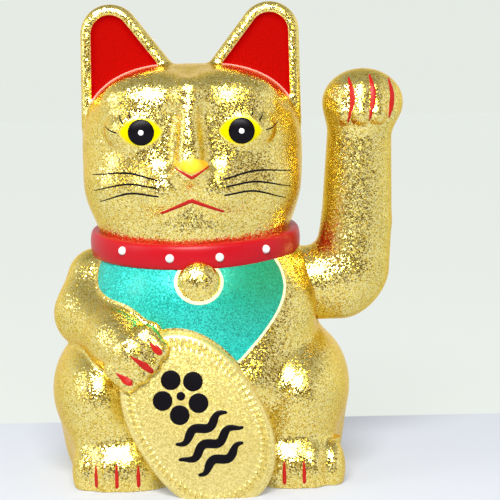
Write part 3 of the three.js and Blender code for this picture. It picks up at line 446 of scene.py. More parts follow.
def ringed_mesh(shapes):
    """The vertices and faces of closed shapes, each given as its rings and two poles."""
    vertices, faces = [], []
    for rings, start, end in shapes:
        base, count = len(vertices), len(rings[0])
        vertices.extend([*np.asarray(rings, float).reshape(-1, 3), start, end])
        low, high = len(vertices) - 2, len(vertices) - 1
        last = base + (len(rings) - 1) * count
        for row in range(base, last, count):
            for i in range(count):
                j = (i + 1) % count
                faces.append((row + i, row + j, row + count + j, row + count + i))
        for i in range(count):
            j = (i + 1) % count
            faces.extend([(base + j, base + i, low), (last + i, last + j, high)])
    return vertices, faces


def face_outward(piece):
    work = bmesh.new()
    work.from_mesh(piece.data)
    bmesh.ops.recalc_face_normals(work, faces=work.faces)
    work.to_mesh(piece.data)
    work.free()


def block(low, high):
    """A box used as a cutting tool."""
    corners = [[(x, low[1], z), (x, high[1], z)] for x, z in
               ((low[0], low[2]), (high[0], low[2]), (high[0], high[2]), (low[0], high[2]))]
    vertices = [point for pair in corners for point in pair]
    faces = [(0, 1, 3, 2), (2, 3, 5, 4), (4, 5, 7, 6), (6, 7, 1, 0), (0, 2, 4, 6), (1, 7, 5, 3)]
    piece = make_piece("block", vertices, faces)
    face_outward(piece)
    return piece


def rod(radius, start, end, sides=48):
    """A round cutting tool from start to end."""
    start, end = Vector(start), Vector(end)
    turn = (end - start).to_track_quat("Z", "Y")
    spokes = [turn @ Vector((radius * math.cos(a), radius * math.sin(a), 0.0)) for a in turns(sides)]
    rings = [[tuple(end_point + spoke) for spoke in spokes] for end_point in (start, end)]
    return skin("rod", rings, tuple(start), tuple(end))


# ---- the hollow inside ----

def ray_lengths(form, centre, rays, farthest, stride=0.8):
    """How far along each ray from the centre the form's outermost surface lies."""
    distances = np.arange(farthest, 0.0, -stride)
    points = centre + rays[:, None, :] * distances[None, :, None]
    first = (points_of(form, points) < 0).argmax(1)
    inner = distances[first]
    outer = inner + stride
    for _ in range(10):
        middle = (inner + outer) / 2
        inside = points_of(form, centre + rays * middle[:, None]) < 0
        inner = np.where(inside, middle, inner)
        outer = np.where(inside, outer, middle)
    return inner


def body_cavity():
    """The hollow of the body: rays pulled in to the least radius of their row and its neighbours."""
    even = turns(40)
    angle = even - 0.22 * np.cos(even)
    rays = np.stack([np.cos(angle), np.sin(angle), np.zeros_like(angle)], 1)
    crown = HEAD_TOP - 0.6 - 12.0 * (1 - np.sin(np.linspace(0.0, math.pi / 2, 6)))
    heights = np.concatenate([[0.0, 3.2], np.linspace(7.5, 92.0, 20), np.linspace(96.5, 146.0, 13), crown])
    centres = np.array([(HEAD_X if z > NECK_Z else 0.0, HOLLOW_Y, z) for z in heights])
    lengths = np.array([ray_lengths(body_form, centre, rays, 72.0) for centre in centres])
    rings = []
    for row in range(0, len(heights) - 2, 2):
        least = lengths[max(row - 1, 0):row + 2].min(0) - WALL
        rings.append(centres[row] + rays * least[:, None])
    below, floor = rings[0].copy(), rings[0].copy()
    below[:, 2], floor[:, 2] = HOLLOW_START, PLATE + 0.4
    start = (0.0, HOLLOW_Y, HOLLOW_START)
    hollow = skin("body_hollow", [below, floor] + rings[1:], start, tuple(rings[-1].mean(0)))
    shoulder_wall = rod(POCKET_RADIUS + WALL, (POCKET_X - POCKET_WALL, 0, ARM_Z), (POCKET_END, 0, ARM_Z))
    combine(hollow, shoulder_wall, "DIFFERENCE")
    combine(hollow, safe_hollow(), "INTERSECT")
    return hollow


def safe_hollow():
    """The space at least the least wall inside the body, closed off below the ground."""
    lowest = -8.0

    def inner(p):
        return np.maximum(body_form(p) + LEAST_WALL, lowest + 2 * HOLLOW_STEP - p[2])
    return make_piece("safe_hollow", *surface_net(inner, (-62, -60, lowest), (62, 46, 165), HOLLOW_STEP))


def arm_cavity():
    def inner(p):
        return np.maximum(arm_form(p) + ARM_WALL, ARM_ROOT_X + WALL - p[0])
    return make_piece("arm_hollow", *surface_net(inner, (30, -22, 50), (86, 18, 162), HOLLOW_STEP))


# ---- the tablet under the resting paw ----

def tablet_axes():
    """Unit vectors along the tablet's length, across it and out of its face."""
    rise, depth = math.cos(TABLET_LEAN), math.sin(TABLET_LEAN)
    across, along = math.cos(TABLET_TURN), math.sin(TABLET_TURN)
    return np.array((
        (along, -depth * across, -rise * across),
        (across, depth * along, rise * along),
        (0.0, -rise, depth),
    ))


def oval(share, angle):
    """A point of the tablet's squarish oval, share 1 being its rim."""
    power = 2.0 / TABLET_SQUARENESS
    u = TABLET_LONG * np.sign(np.cos(angle)) * np.abs(np.cos(angle)) ** power
    v = TABLET_SHORT * np.sign(np.sin(angle)) * np.abs(np.sin(angle)) ** power
    return share * u, share * v


def tablet_face(share):
    """How far the tablet's front stands out, gently crowned."""
    return TABLET_FRONT - 1.4 * share ** 2


def even_angles(count):
    """Angles that step evenly along the tablet's rim."""
    fine = np.linspace(0.0, 2 * math.pi, 4001)
    u, v = oval(1.0, fine)
    travelled = np.concatenate([[0.0], np.cumsum(np.hypot(np.diff(u), np.diff(v)))])
    return np.interp(np.linspace(0.0, travelled[-1], count, endpoint=False), travelled, fine)


def tablet_point(u, v, w):
    long, short, out = tablet_axes()
    return TABLET_AT + np.multiply.outer(u, long) + np.multiply.outer(v, short) + np.multiply.outer(w, out)


def tablet():
    count = RIDGES * 10
    angle = even_angles(count)
    ridge = np.clip(1.6 * np.cos(np.arange(count) / count * RIDGES * 2 * math.pi), -1.0, 1.0)
    rings = []
    for share in np.concatenate([np.linspace(0.06, 0.78, 14), np.linspace(*RIM, 14)]):
        u, v = oval(share, angle)
        band = np.clip(min((share - RIM[0]) / 0.03, (RIM[1] - share) / 0.03), 0.0, 1.0)
        rings.append(tablet_point(u, v, tablet_face(share) + RIDGE_HEIGHT * band * ridge))
    for turn in np.linspace(0.0, math.pi / 2, 7):
        inward = TABLET_EDGE * (1 - math.sin(turn)) / TABLET_SHORT
        drop = TABLET_EDGE * (1 - math.cos(turn))
        u, v = oval(1.0 - inward, angle)
        rings.append(tablet_point(u, v, np.full(count, tablet_face(RIM[1]) - drop)))
    u, v = oval(1.0, angle)
    rings.append(tablet_point(u, v, np.full(count, -TABLET_BACK)))
    start = tablet_point(0.0, 0.0, tablet_face(0.0))
    end = tablet_point(0.0, 0.0, -TABLET_BACK)
    piece = skin("tablet", rings, start, end)
    combine(piece, block((-60, -90, 0), (60, 20, 90)), "INTERSECT")
    return piece


def ball(name, at, radii, columns=48, rows=24):
    rings = []
    for tilt in np.linspace(0.0, math.pi, rows + 1)[1:-1]:
        rings.append([(at[0] + radii[0] * math.sin(tilt) * math.cos(a),
                       at[1] - radii[1] * math.cos(tilt),
                       at[2] + radii[2] * math.sin(tilt) * math.sin(a)) for a in turns(columns)])
    return skin(name, rings, (at[0], at[1] - radii[1], at[2]), (at[0], at[1] + radii[1], at[2]))


# ---- the moulded halves ----

def outer_solid(name, form, low, high):
    vertices, faces = surface_net(form, low, high, SKIN_STEP)
    return make_piece(name, settled(form, vertices), faces)


def halves(whole, front_name, rear_name):
    """The moulding cut in two along its parting plane, with a small gap."""
    rear = whole.copy()
    rear.data = whole.data.copy()
    whole.name, rear.name = front_name, rear_name
    bpy.context.scene.collection.objects.link(rear)
    combine(whole, block((-FAR, -FAR, -FAR), (FAR, -GAP / 2, FAR)), "INTERSECT")
    combine(rear, block((-FAR, GAP / 2, -FAR), (FAR, FAR, FAR)), "INTERSECT")
    return whole, rear


def smooth(piece, crease=35.0):
    """Smooth shading, with the edges sharper than the crease angle left crisp."""
    mesh = piece.data
    mesh.shade_smooth()
    mesh.set_sharp_from_angle(angle=math.radians(crease))


def shoulder_pocket():
    """The round seat that the raised arm turns in, cut from the shoulder and from the collar above it."""
    return rod(POCKET_RADIUS, (POCKET_X, 0, ARM_Z), (POCKET_END, 0, ARM_Z), 96)


def boss_centres():
    screws = [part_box(f"base_screw_{i}") for i in range(1, 5)]
    return [((low.x + high.x) / 2 / MM, (low.y + high.y) / 2 / MM) for low, high in screws]


def body_skins():
    whole = outer_solid("body", body_surface, (-62, -60, -3), (62, 46, 190))
    combine(whole, tablet(), "UNION")
    combine(whole, ball("bell", BELL_AT, BELL_RADII), "UNION")
    combine(whole, body_cavity(), "DIFFERENCE")
    for x, y in boss_centres():
        combine(whole, rod(BOSS_RADIUS, (x, y, PLATE + GAP), (x, y, BOSS_TOP), 32), "UNION")
    combine(whole, shoulder_pocket(), "DIFFERENCE")
    combine(whole, rod(AXLE_BORE, (20, 0, ARM_Z), (40, 0, ARM_Z)), "DIFFERENCE")
    for x, y in boss_centres():
        combine(whole, rod(SCREW_BORE, (x, y, 0.0), (x, y, SCREW_BORE_TOP), 24), "DIFFERENCE")
    return halves(whole, "front_skin", "rear_skin")


def arm_skins():
    whole = outer_solid("arm", arm_surface, (30, -24, 50), (88, 20, 166))
    combine(whole, arm_cavity(), "DIFFERENCE")
    combine(whole, rod(ARM_BORE, (30, 0, ARM_Z), (ARM_BORE_END, 0, ARM_Z)), "DIFFERENCE")
    return halves(whole, "arm_front_skin", "arm_rear_skin")


# ---- collar and studs ----

def collar_at(angle, height, swell=0.0):
    """A point on the collar: angle from the front in radians, height above its middle line."""
    x = COLLAR_X + (COLLAR_SIDE + swell) * math.sin(angle)
    y = -(COLLAR_DEPTH + swell) * math.cos(angle)
    return x, y, COLLAR_Z + COLLAR_TILT * y + height


def collar():
    """The collar's band: one closed ring, bowed outward, that sinks into the neck."""
    section = [(-COLLAR_ROOT, -COLLAR_HALF_HEIGHT), (-COLLAR_ROOT, COLLAR_HALF_HEIGHT)]
    for turn in np.linspace(math.pi / 2, -math.pi / 2, 21):
        out = COLLAR_SWELL * max(math.cos(turn), 0.0) ** COLLAR_FULLNESS - COLLAR_EDGE
        section.append((out, COLLAR_HALF_HEIGHT * math.sin(turn)))
    count, across = 240, len(section)
    vertices = [collar_at(2 * math.pi * i / count, height, out)
                for i in range(count) for out, height in section]
    faces = []
    for i in range(count):
        here, there = i * across, ((i + 1) % count) * across
        for j in range(across):
            k = (j + 1) % across
            faces.append((here + j, here + k, there + k, there + j))
    piece = make_piece("collar", vertices, faces)
    face_outward(piece)
    return piece


def studs():
    places = [collar_at(math.radians(angle), height, COLLAR_SWELL - COLLAR_EDGE) for angle, height in STUDS]
    whole, *others = [ball("collar_studs", at, (STUD_RADIUS, 1.3, STUD_RADIUS), 32, 16) for at in places]
    for stud in others:
        combine(whole, stud, "UNION")
    return whole


# ---- curves ----

def flowing(points, count):
    """Evenly spaced points of the smooth curve through the given ones."""
    points = np.asarray(points, float)
    ends = np.array([2 * points[0] - points[1], *points, 2 * points[-1] - points[-2]])
    fine = [spline(*ends[i:i + 4], t)
            for i in range(len(ends) - 3) for t in np.linspace(0.0, 1.0, 16, endpoint=False)]
    return evenly(np.array([*fine, points[-1]]), count)


def spline(a, b, c, d, t):
    bend, twist = 2 * a - 5 * b + 4 * c - d, 3 * b - a - 3 * c + d
    return 0.5 * (2 * b + (c - a) * t + bend * t ** 2 + twist * t ** 3)


def evenly(points, count):
    steps = np.linalg.norm(np.diff(points, axis=0), axis=1)
    travelled = np.concatenate([[0.0], np.cumsum(steps)])
    wanted = np.linspace(0.0, travelled[-1], count)
    return np.stack([np.interp(wanted, travelled, points[:, i]) for i in range(points.shape[1])], 1)


def closed_flow(points, count):
    """As flowing, for an outline that closes on itself."""
    points = np.asarray(points, float)
    fine = [spline(*np.roll(points, 1 - i, 0)[:4], t)
            for i in range(len(points)) for t in np.linspace(0.0, 1.0, 12, endpoint=False)]
    return evenly(np.array([*fine, fine[0]]), count + 1)[:-1]


# ---- painted zones: signed distances kept on the vertices of the front skin ----

BIB = ((-50.0, 88.5), (-46.0, 77.0), (-38.0, 67.0), (-29.0, 58.0), (-15.0, 57.0), (-6.0, 49.0), (5.0, 44.5),
       (14.7, 48.5), (20.8, 54.2), (26.3, 60.3), (31.5, 67.9), (34.0, 75.2), (33.2, 81.4), (30.6, 86.5),
       (20.0, 100.0), (-25.0, 100.0))
BIB_BACK = -12.0  # the bib is painted in front of this
MARK_REACH = 20.0  # distances beyond this are of no use
BIB_OUTLINE = closed_flow(BIB, 90).tolist()
EYES = ((-19.8, 136.7), (17.9, 136.6))
EYE_HALF_WIDTH, EYE_HALF_HEIGHT = 8.5, 5.5


def ear_interior(p):
    """The scooped faces of the ears, and the glitter on the crown just in front of them, where a painted
    reflection of the red ears lies.
    """
    corner_distance = polygon(np.abs(p[0] - HEAD_X), p[2], EAR_CORNERS)
    inner = np.maximum(corner_distance - EAR_ROUND + EAR_RIM + 0.2, p[1] - EAR_Y + 1.5)
    return np.maximum(inner, ears(p) - EAR_REFLECTION_REACH)


def ear_paint(p):
    return np.maximum(ear_interior(p), 0.5 - head(p))


def tablet_distance(p):
    """Rough distance outside the tablet."""
    offset = [p[i] - TABLET_AT[i] for i in range(3)]
    u, v, w = (sum(offset[i] * axis[i] for i in range(3)) for axis in tablet_axes())
    share = ((np.abs(u) / TABLET_LONG) ** TABLET_SQUARENESS + (np.abs(v) / TABLET_SHORT) ** TABLET_SQUARENESS)
    share = share ** (1 / TABLET_SQUARENESS)
    return np.maximum((share - 1.0) * TABLET_SHORT, w - tablet_face(np.minimum(share, 1.0)))


def on_tablet_skin(p):
    return tablet_distance(p) - 0.3


def bib_trim(p):
    """The bib's own outline and the ring round the bell, where a pale line is painted: the unpainted edge,
    with a painted highlight on it.
    """
    return np.maximum(polygon(p[0], p[2], BIB_OUTLINE), 0.2 - ellipsoid(p, BELL_AT, BELL_RADII))


def bib_paint(p):
    clear_of = np.minimum(tablet_distance(p) - 0.8, resting_arm(p) - 2.0)
    below_collar = p[2] - COLLAR_Z - COLLAR_TILT * p[1]
    return np.maximum(np.maximum(bib_trim(p), p[1] - BIB_BACK), np.maximum(below_collar, -clear_of))


def eye_paint(p):
    """Two pointed almonds, each the overlap of two circles."""
    radius = (EYE_HALF_WIDTH ** 2 + EYE_HALF_HEIGHT ** 2) / (2 * EYE_HALF_HEIGHT)
    best = None
    for x, z in EYES:
        arcs = [np.hypot(p[0] - x, p[2] - z - side * (radius - EYE_HALF_HEIGHT)) - radius for side in (-1, 1)]
        almond = np.maximum(*arcs)
        best = almond if best is None else np.minimum(best, almond)
    return np.maximum(best, p[1] + 10.0)


def mark(piece, name, distance):
    """Keeps a signed distance, in millimetres, on every vertex of the piece."""
    mesh = piece.data
    places = np.empty(len(mesh.vertices) * 3)
    mesh.vertices.foreach_get("co", places)
    values = distance(tuple(places.reshape(-1, 3).T / MM))
    kept = mesh.attributes.new(name, "FLOAT", "POINT").data
    kept.foreach_set("value", np.clip(values, -MARK_REACH, MARK_REACH).astype(np.float32))


# ---- painted details, laid on the surface as thin enamel ----

class Surface:
    """Finds the place on a finished piece that a ray from the front meets first."""

    def __init__(self, piece):
        self.tree = BVHTree.FromObject(piece, bpy.context.evaluated_depsgraph_get())

    def under(self, x, z):
        """The surface point and its normal behind the front-view place x, z, in millimetres."""
        place, normal, _, _ = self.tree.ray_cast(Vector((x, FACE_Y, z)) * MM, Vector((0, 1, 0)))
        if place is None:
            raise ValueError(f"nothing lies behind {x:.1f}, {z:.1f}")
        return np.array(place) / MM, np.array(normal)


def stroke(surface, path, widths, thickness=0.16, count=28):
    """Rings and poles of a bead of enamel along a path; the widths are spread evenly along it."""
    path = np.asarray(path, float)
    line = flowing(path, count) if len(path) > 2 else evenly(path, count)
    places, normals = map(np.array, zip(*[surface.under(*point) for point in line]))
    along = np.gradient(places, axis=0)
    along /= np.linalg.norm(along, axis=1, keepdims=True)
    side = np.cross(along, normals)
    side /= np.linalg.norm(side, axis=1, keepdims=True)
    half = np.interp(np.linspace(0.0, 1.0, count), np.linspace(0.0, 1.0, len(widths)), widths) / 2
    rings = []
    for i in range(count):
        rings.append([places[i] + side[i] * half[i] * math.cos(turn) + normals[i] * thickness * math.sin(turn)
                      for turn in turns(10)])
    reach = half[:, None] * along
    return rings, places[0] - reach[0], places[-1] + reach[-1]


ENAMEL_ROOT = 0.35  # how deep a pad of enamel is sunk into the skin


def patch(surface, outline, centre, thickness=0.14, rows=10):
    """Rings and poles of a thin pad of enamel that fills a front-view outline round its centre."""
    outline, centre = np.asarray(outline, float), np.asarray(centre, float)
    front_rings, back_rings = [], []
    for share in np.sin(np.linspace(0.06, math.pi / 2, rows)):
        lift = thickness * math.sqrt(max(0.0, 1 - share ** 4)) - 0.03
        ring, back = [], []
        for x, z in centre + (outline - centre) * share:
            place, normal = surface.under(x, z)
            ring.append(place + normal * lift)
            back.append(place - normal * ENAMEL_ROOT)
        front_rings.append(ring)
        back_rings.append(back)
    place, normal = surface.under(*centre)
    return front_rings + back_rings[::-2], place + normal * thickness, place - normal * ENAMEL_ROOT


def painted(name, shapes):
    """One piece from several pads and beads of enamel."""
    piece = make_piece(name, *ringed_mesh(shapes))
    face_outward(piece)
    smooth(piece, 50.0)
    return piece


def circle(centre, radius, count=40):
    return [(centre[0] + radius * math.cos(a), centre[1] + radius * math.sin(a)) for a in turns(count)]


def mirrored(points, middle=-1.0):
    return [(2 * middle - x, z) for x, z in points]


PUPILS = ((-19.6, 136.6), (18.3, 136.5))
PUPIL_RADIUS = 5.0
GLINT_RADIUS = 1.05
NOSE = ((-6.3, 124.2), (-4.2, 126.0), (-1.2, 127.0), (1.8, 126.6), (4.2, 125.6), (5.4, 124.0), (-0.6, 121.2))
NOSE_LINE = ((-6.9, 123.4), (-0.6, 119.6), (5.8, 123.6))
MOUTH = ((-12.6, 106.1), (-1.2, 110.7), (10.8, 106.3))
WHISKERS = (
    ((-13.5, 118.7), (-25.6, 121.3), (-39.1, 120.4)),
    ((-14.1, 115.9), (-25.8, 117.1), (-38.6, 114.4)),
    ((-13.5, 112.7), (-24.6, 113.6), (-36.4, 110.2)),
)
LASHES = (
    ((-20.2, 142.2), (-19.7, 143.8), (-20.4, 145.6)),
    ((-23.6, 142.0), (-24.0, 143.4), (-23.8, 145.0)),
    ((-26.4, 140.2), (-27.4, 141.6), (-27.6, 143.2)),
    ((-29.0, 136.6), (-31.4, 137.4), (-33.6, 139.0)),
)
FOOT_CLAWS = ((-40.0, 2.4, 10.3), (-32.1, 2.2, 10.6), (-23.8, 2.4, 10.2), (31.8, 2.4, 10.6),
              (39.3, 2.6, 10.8))  # x, lower end, upper end
RESTING_CLAWS = (
    ((-30.6, 47.8), (-25.3, 43.9)),
    ((-24.9, 54.5), (-21.4, 51.8), (-17.3, 48.1)),
    ((-18.0, 59.0), (-13.9, 55.2)),
)
RAISED_CLAWS = (
    ((60.2, 155.0), (61.3, 147.0), (59.6, 138.0)),
    ((68.4, 156.0), (69.3, 148.0), (67.7, 138.4)),
    ((76.0, 154.4), (77.0, 147.4), (75.6, 139.4)),
)

PETALS, PETAL_RADIUS, PETAL_REACH, BLOSSOM_HEART = 5, 3.8, 7.1, 1.7
BLOSSOM_AT = -11.5  # along the tablet's length
WAVES = ((2.8, 11.0), (9.6, 13.2), (16.4, 10.0))  # place along the tablet and half length
WAVE_HEIGHT, WAVE_LENGTH = 1.3, 11.0


def corner_stroke(surface, path, width, end_width):
    """Two straight beads that meet at a sharp corner."""
    first, corner, last = path
    return [stroke(surface, (end, corner), (end_width, width)) for end in (first, last)]


def on_tablet(u, v):
    """The front-view place of a point of the tablet's face."""
    share = max(abs(u) / TABLET_LONG, abs(v) / TABLET_SHORT)
    place = tablet_point(u, v, tablet_face(share))
    return place[0], place[2]


def ornament(surface):
    """A plum blossom above three waves."""
    petals = [(BLOSSOM_AT - PETAL_REACH * math.cos(a), -PETAL_REACH * math.sin(a)) for a in turns(PETALS)]
    discs = [((BLOSSOM_AT, 0.0), BLOSSOM_HEART, 24)] + [(at, PETAL_RADIUS, 32) for at in petals]
    shapes = [patch(surface, [on_tablet(*at) for at in circle(middle, radius, count)], on_tablet(*middle))
              for middle, radius, count in discs]
    for u, half in WAVES:
        path = [on_tablet(u + WAVE_HEIGHT * math.sin(v / WAVE_LENGTH * 2 * math.pi), v)
                for v in np.linspace(-half, half, 25)]
        shapes.append(stroke(surface, path, (1.2, 3.3, 3.5, 3.3, 1.2), 0.14, 56))
    return shapes


front, rear = body_skins()
arm_front, arm_rear = arm_skins()
band = collar()
combine(band, shoulder_pocket(), "DIFFERENCE")
collar_front, collar_rear = halves(band, "collar_front", "collar_rear")
stud_row = studs()
for piece in (front, rear, arm_front, arm_rear, collar_front, collar_rear, stud_row):
    smooth(piece)

body_face, arm_face = Surface(front), Surface(arm_front)

pupils = painted("pupils", [patch(body_face, circle(at, PUPIL_RADIUS), at, 0.35) for at in PUPILS])
pupil_face = Surface(pupils)
glints = painted("pupil_glints", [patch(pupil_face, circle(at, GLINT_RADIUS, 24), at, 0.12) for at in PUPILS])
whiskers = painted("whiskers", [
    stroke(body_face, path, (0.7, 0.8, 0.35), 0.15)
    for whisker in WHISKERS for path in (whisker, mirrored(whisker))
])
lashes = painted("lashes", [
    stroke(body_face, path, (0.6, 0.55, 0.3), 0.1, 12)
    for lash in LASHES for path in (lash, mirrored(lash, -0.7))
])
nose = painted("nose_paint", [patch(body_face, closed_flow(NOSE, 48), (-0.6, 124.6))])
mouth = painted("mouth_line", corner_stroke(body_face, MOUTH, 1.9, 1.1)
                + corner_stroke(body_face, NOSE_LINE, 1.4, 0.4))
foot_claws = painted("foot_claws", [
    stroke(body_face, ((x, low), (x, high)), (1.5, 1.7, 0.6)) for x, low, high in FOOT_CLAWS
])
resting_claws = painted("resting_claws", [
    stroke(body_face, path, (0.4, 1.6, 3.0, 2.4)) for path in RESTING_CLAWS
])
raised_claws = painted("raised_claws", [
    stroke(arm_face, path, (0.8, 2.3, 2.3, 0.8)) for path in RAISED_CLAWS
])
mark_on_tablet = painted("tablet_ornament", ornament(body_face))

PAINT_ZONES = {"bib": bib_paint, "bib_trim": bib_trim, "ear": ear_paint, "ears_and_reflection": ear_interior,
               "eye": eye_paint, "tablet": on_tablet_skin}
for zone_name, distance in PAINT_ZONES.items():
    mark(front, zone_name, distance)


# ---- camera, light and floor ----

LENS = 126.0
CAMERA_DISTANCE = 0.7
CAMERA_ELEVATION, CAMERA_ROLL = math.radians(7.0), math.radians(1.2)
AIM_FROM_CENTRE = Vector((9.05, 6.64, -5.7)) * MM


def camera():
    middle = (cad_box[0] + cad_box[1]) / 2
    forward = Vector((0.0, math.cos(CAMERA_ELEVATION), -math.sin(CAMERA_ELEVATION)))
    level_up = Vector((0.0, math.sin(CAMERA_ELEVATION), math.cos(CAMERA_ELEVATION)))
    level_right = Vector((1.0, 0.0, 0.0))
    right = level_right * math.cos(CAMERA_ROLL) - level_up * math.sin(CAMERA_ROLL)
    up = level_up * math.cos(CAMERA_ROLL) + level_right * math.sin(CAMERA_ROLL)
    data = bpy.data.cameras.new("camera")
    data.lens = LENS
    data.sensor_width = 36.0
    data.clip_start, data.clip_end = 0.01, 20.0
    eye = bpy.data.objects.new("camera", data)
    place = middle + AIM_FROM_CENTRE - forward * CAMERA_DISTANCE
    eye.matrix_world = Matrix.Translation(place) @ Matrix((right, up, -forward)).transposed().to_4x4()
    bpy.context.scene.collection.objects.link(eye)
    bpy.context.scene.camera = eye


class Nodes:
    """A short way to write a node tree."""

    def __init__(self, tree):
        self.tree = tree
        tree.nodes.clear()

    def add(self, kind, **settings):
        node = self.tree.nodes.new("ShaderNode" + kind)
        for key, value in settings.items():
            setattr(node, key, value)
        return node

    def put(self, socket, value):
        """Feeds a socket with another node's output or with a plain value, a colour without its alpha."""
        if isinstance(value, bpy.types.NodeSocket):
            self.tree.links.new(value, socket)
        else:
            socket.default_value = (*value, 1.0) if socket.type == "RGBA" else value

    def fill(self, node, values):
        for name, value in values.items():
            self.put(node.inputs[name], value)

    def math(self, operation, *values):
        node = self.add("Math", operation=operation)
        for socket, value in zip(node.inputs, values):
            self.put(socket, value)
        return node.outputs[0]

    def mix(self, share, a, b, kind="RGBA"):
        node = self.add("Mix", data_type=kind)
        self.fill(node, {"Factor": share, "A": a, "B": b})
        return node.outputs["Result"]

    def ramp(self, value, low, high, from_value=0.0, to_value=1.0):
        node = self.add("MapRange", interpolation_type="SMOOTHSTEP")
        self.fill(node, {"Value": value, "From Min": low, "From Max": high, "To Min": from_value,
                         "To Max": to_value})
        return node.outputs["Result"]

    def vector(self, operation, *values):
        node = self.add("VectorMath", operation=operation)
        for socket, value in zip(node.inputs, values):
            self.put(socket, value)
        return node.outputs["Value" if operation in ("DOT_PRODUCT", "DISTANCE") else "Vector"]


def new_material(name):
    material = bpy.data.materials.new(name)
    material.use_nodes = True
    nodes = Nodes(material.node_tree)
    shader = nodes.add("BsdfPrincipled")
    out = nodes.add("OutputMaterial")
    nodes.put(out.inputs["Surface"], shader.outputs["BSDF"])
    return material, nodes, shader


GLITTER_SIZE = 0.40  # across one flake
FLAKE_SHADES = ((0.0, (0.42, 0.25, 0.012)), (0.3, (0.86, 0.63, 0.070)), (1.0, (1.0, 0.91, 0.40)))


def flakes(nodes):
    """A random vector for each flake."""
    cells = nodes.add("TexVoronoi", voronoi_dimensions="3D", feature="F1")
    nodes.fill(cells, {"Vector": place_of(nodes), "Scale": 1.0 / (GLITTER_SIZE * MM), "Randomness": 1.0})
    return cells.outputs["Color"]


def parts_of(nodes, vector):
    split = nodes.add("SeparateXYZ")
    nodes.put(split.inputs[0], vector)
    return split.outputs


def place_of(nodes):
    """The place on the object, in metres."""
    return nodes.add("TexCoord").outputs["Object"]


def tipped_normal(nodes, random, amount):
    """The surface's normal, tipped differently in each flake."""
    push = nodes.add("VectorMath", operation="SCALE")
    nodes.put(push.inputs[0], nodes.vector("SUBTRACT", random, (0.5, 0.5, 0.5)))
    nodes.put(push.inputs["Scale"], amount)
    normal = nodes.add("NewGeometry").outputs["Normal"]
    return nodes.vector("NORMALIZE", nodes.vector("ADD", normal, push.outputs["Vector"]))


def shades(nodes, value, stops):
    """A colour looked up between fixed shades."""
    ramp = nodes.add("ValToRGB")
    elements = ramp.color_ramp.elements
    while len(elements) < len(stops):
        elements.new(0.5)
    for element, (position, shade) in zip(elements, stops):
        element.position = position
        element.color = (*shade, 1.0)
    nodes.put(ramp.inputs[0], value)
    return ramp.outputs["Color"]


def zone(nodes, name, outer, inner):
    """A mask from the signed distance that the mesh carries under this name: 0 at outer, 1 at inner."""
    return nodes.ramp(nodes.add("Attribute", attribute_name=name).outputs["Fac"], outer, inner)


def over(nodes, look, mask, paint):
    """The look with another laid over it where the mask is 1."""
    merged = {"colour": nodes.mix(mask, look["colour"], paint["colour"])}
    for key in ("metallic", "roughness", "tilt", "coat", "gloss"):
        merged[key] = nodes.mix(mask, look[key], paint[key], "FLOAT")
    return merged


def gold_look(nodes, random):
    """Glitter with a painted shade and a painted reflection of nearby gold, which make it darker and more
    orange where the surface turns away.
    """
    parts = parts_of(nodes, random)
    turned_away = nodes.add("LayerWeight")
    nodes.put(turned_away.inputs["Blend"], 0.5)
    # painted shade and painted reflection: a darker orange laid on where the surface turns away from the
    # camera
    painted_shade_and_reflection = nodes.ramp(turned_away.outputs["Facing"], 0.4, 0.95, 0.0, 0.5)
    flake = shades(nodes, parts[0], FLAKE_SHADES)
    return {"colour": nodes.mix(painted_shade_and_reflection, flake, (0.80, 0.50, 0.010)), "metallic": 1.0,
            "roughness": nodes.ramp(parts[1], 0.0, 1.0, 0.14, 0.30), "tilt": 0.42, "coat": 0.3, "gloss": 0.5}


def tablet_look(nodes, random):
    """A paler, calmer gold."""
    parts = parts_of(nodes, random)
    shade = nodes.mix(parts[0], (0.60, 0.46, 0.09), (0.92, 0.80, 0.30))
    return {"colour": shade, "metallic": 0.6, "roughness": 0.36, "tilt": 0.3, "coat": 0.5, "gloss": 0.5}


def bib_look(nodes, random):
    """Translucent teal over the glitter, greener towards the upper right."""
    parts = parts_of(nodes, random)
    place = parts_of(nodes, place_of(nodes))
    rightward, upward = nodes.ramp(place[0], -8 * MM, 27 * MM), nodes.ramp(place[2], 50 * MM, 82 * MM)
    greener = nodes.math("MULTIPLY", rightward, upward)
    deep = nodes.mix(greener, (0.0, 0.28, 0.23), (0.01, 0.22, 0.09))
    pale = nodes.mix(greener, (0.03, 0.72, 0.61), (0.015, 0.44, 0.22))
    return {"colour": nodes.mix(parts[0], deep, pale), "metallic": 0.35,
            "roughness": nodes.ramp(parts[1], 0.0, 1.0, 0.3, 0.5), "tilt": 0.3, "coat": 0.1, "gloss": 0.4}


def flat_look(shade, roughness=0.4):
    return {"colour": shade, "metallic": 0.0, "roughness": roughness, "tilt": 0.04, "coat": 0.0,
            "gloss": 0.03}


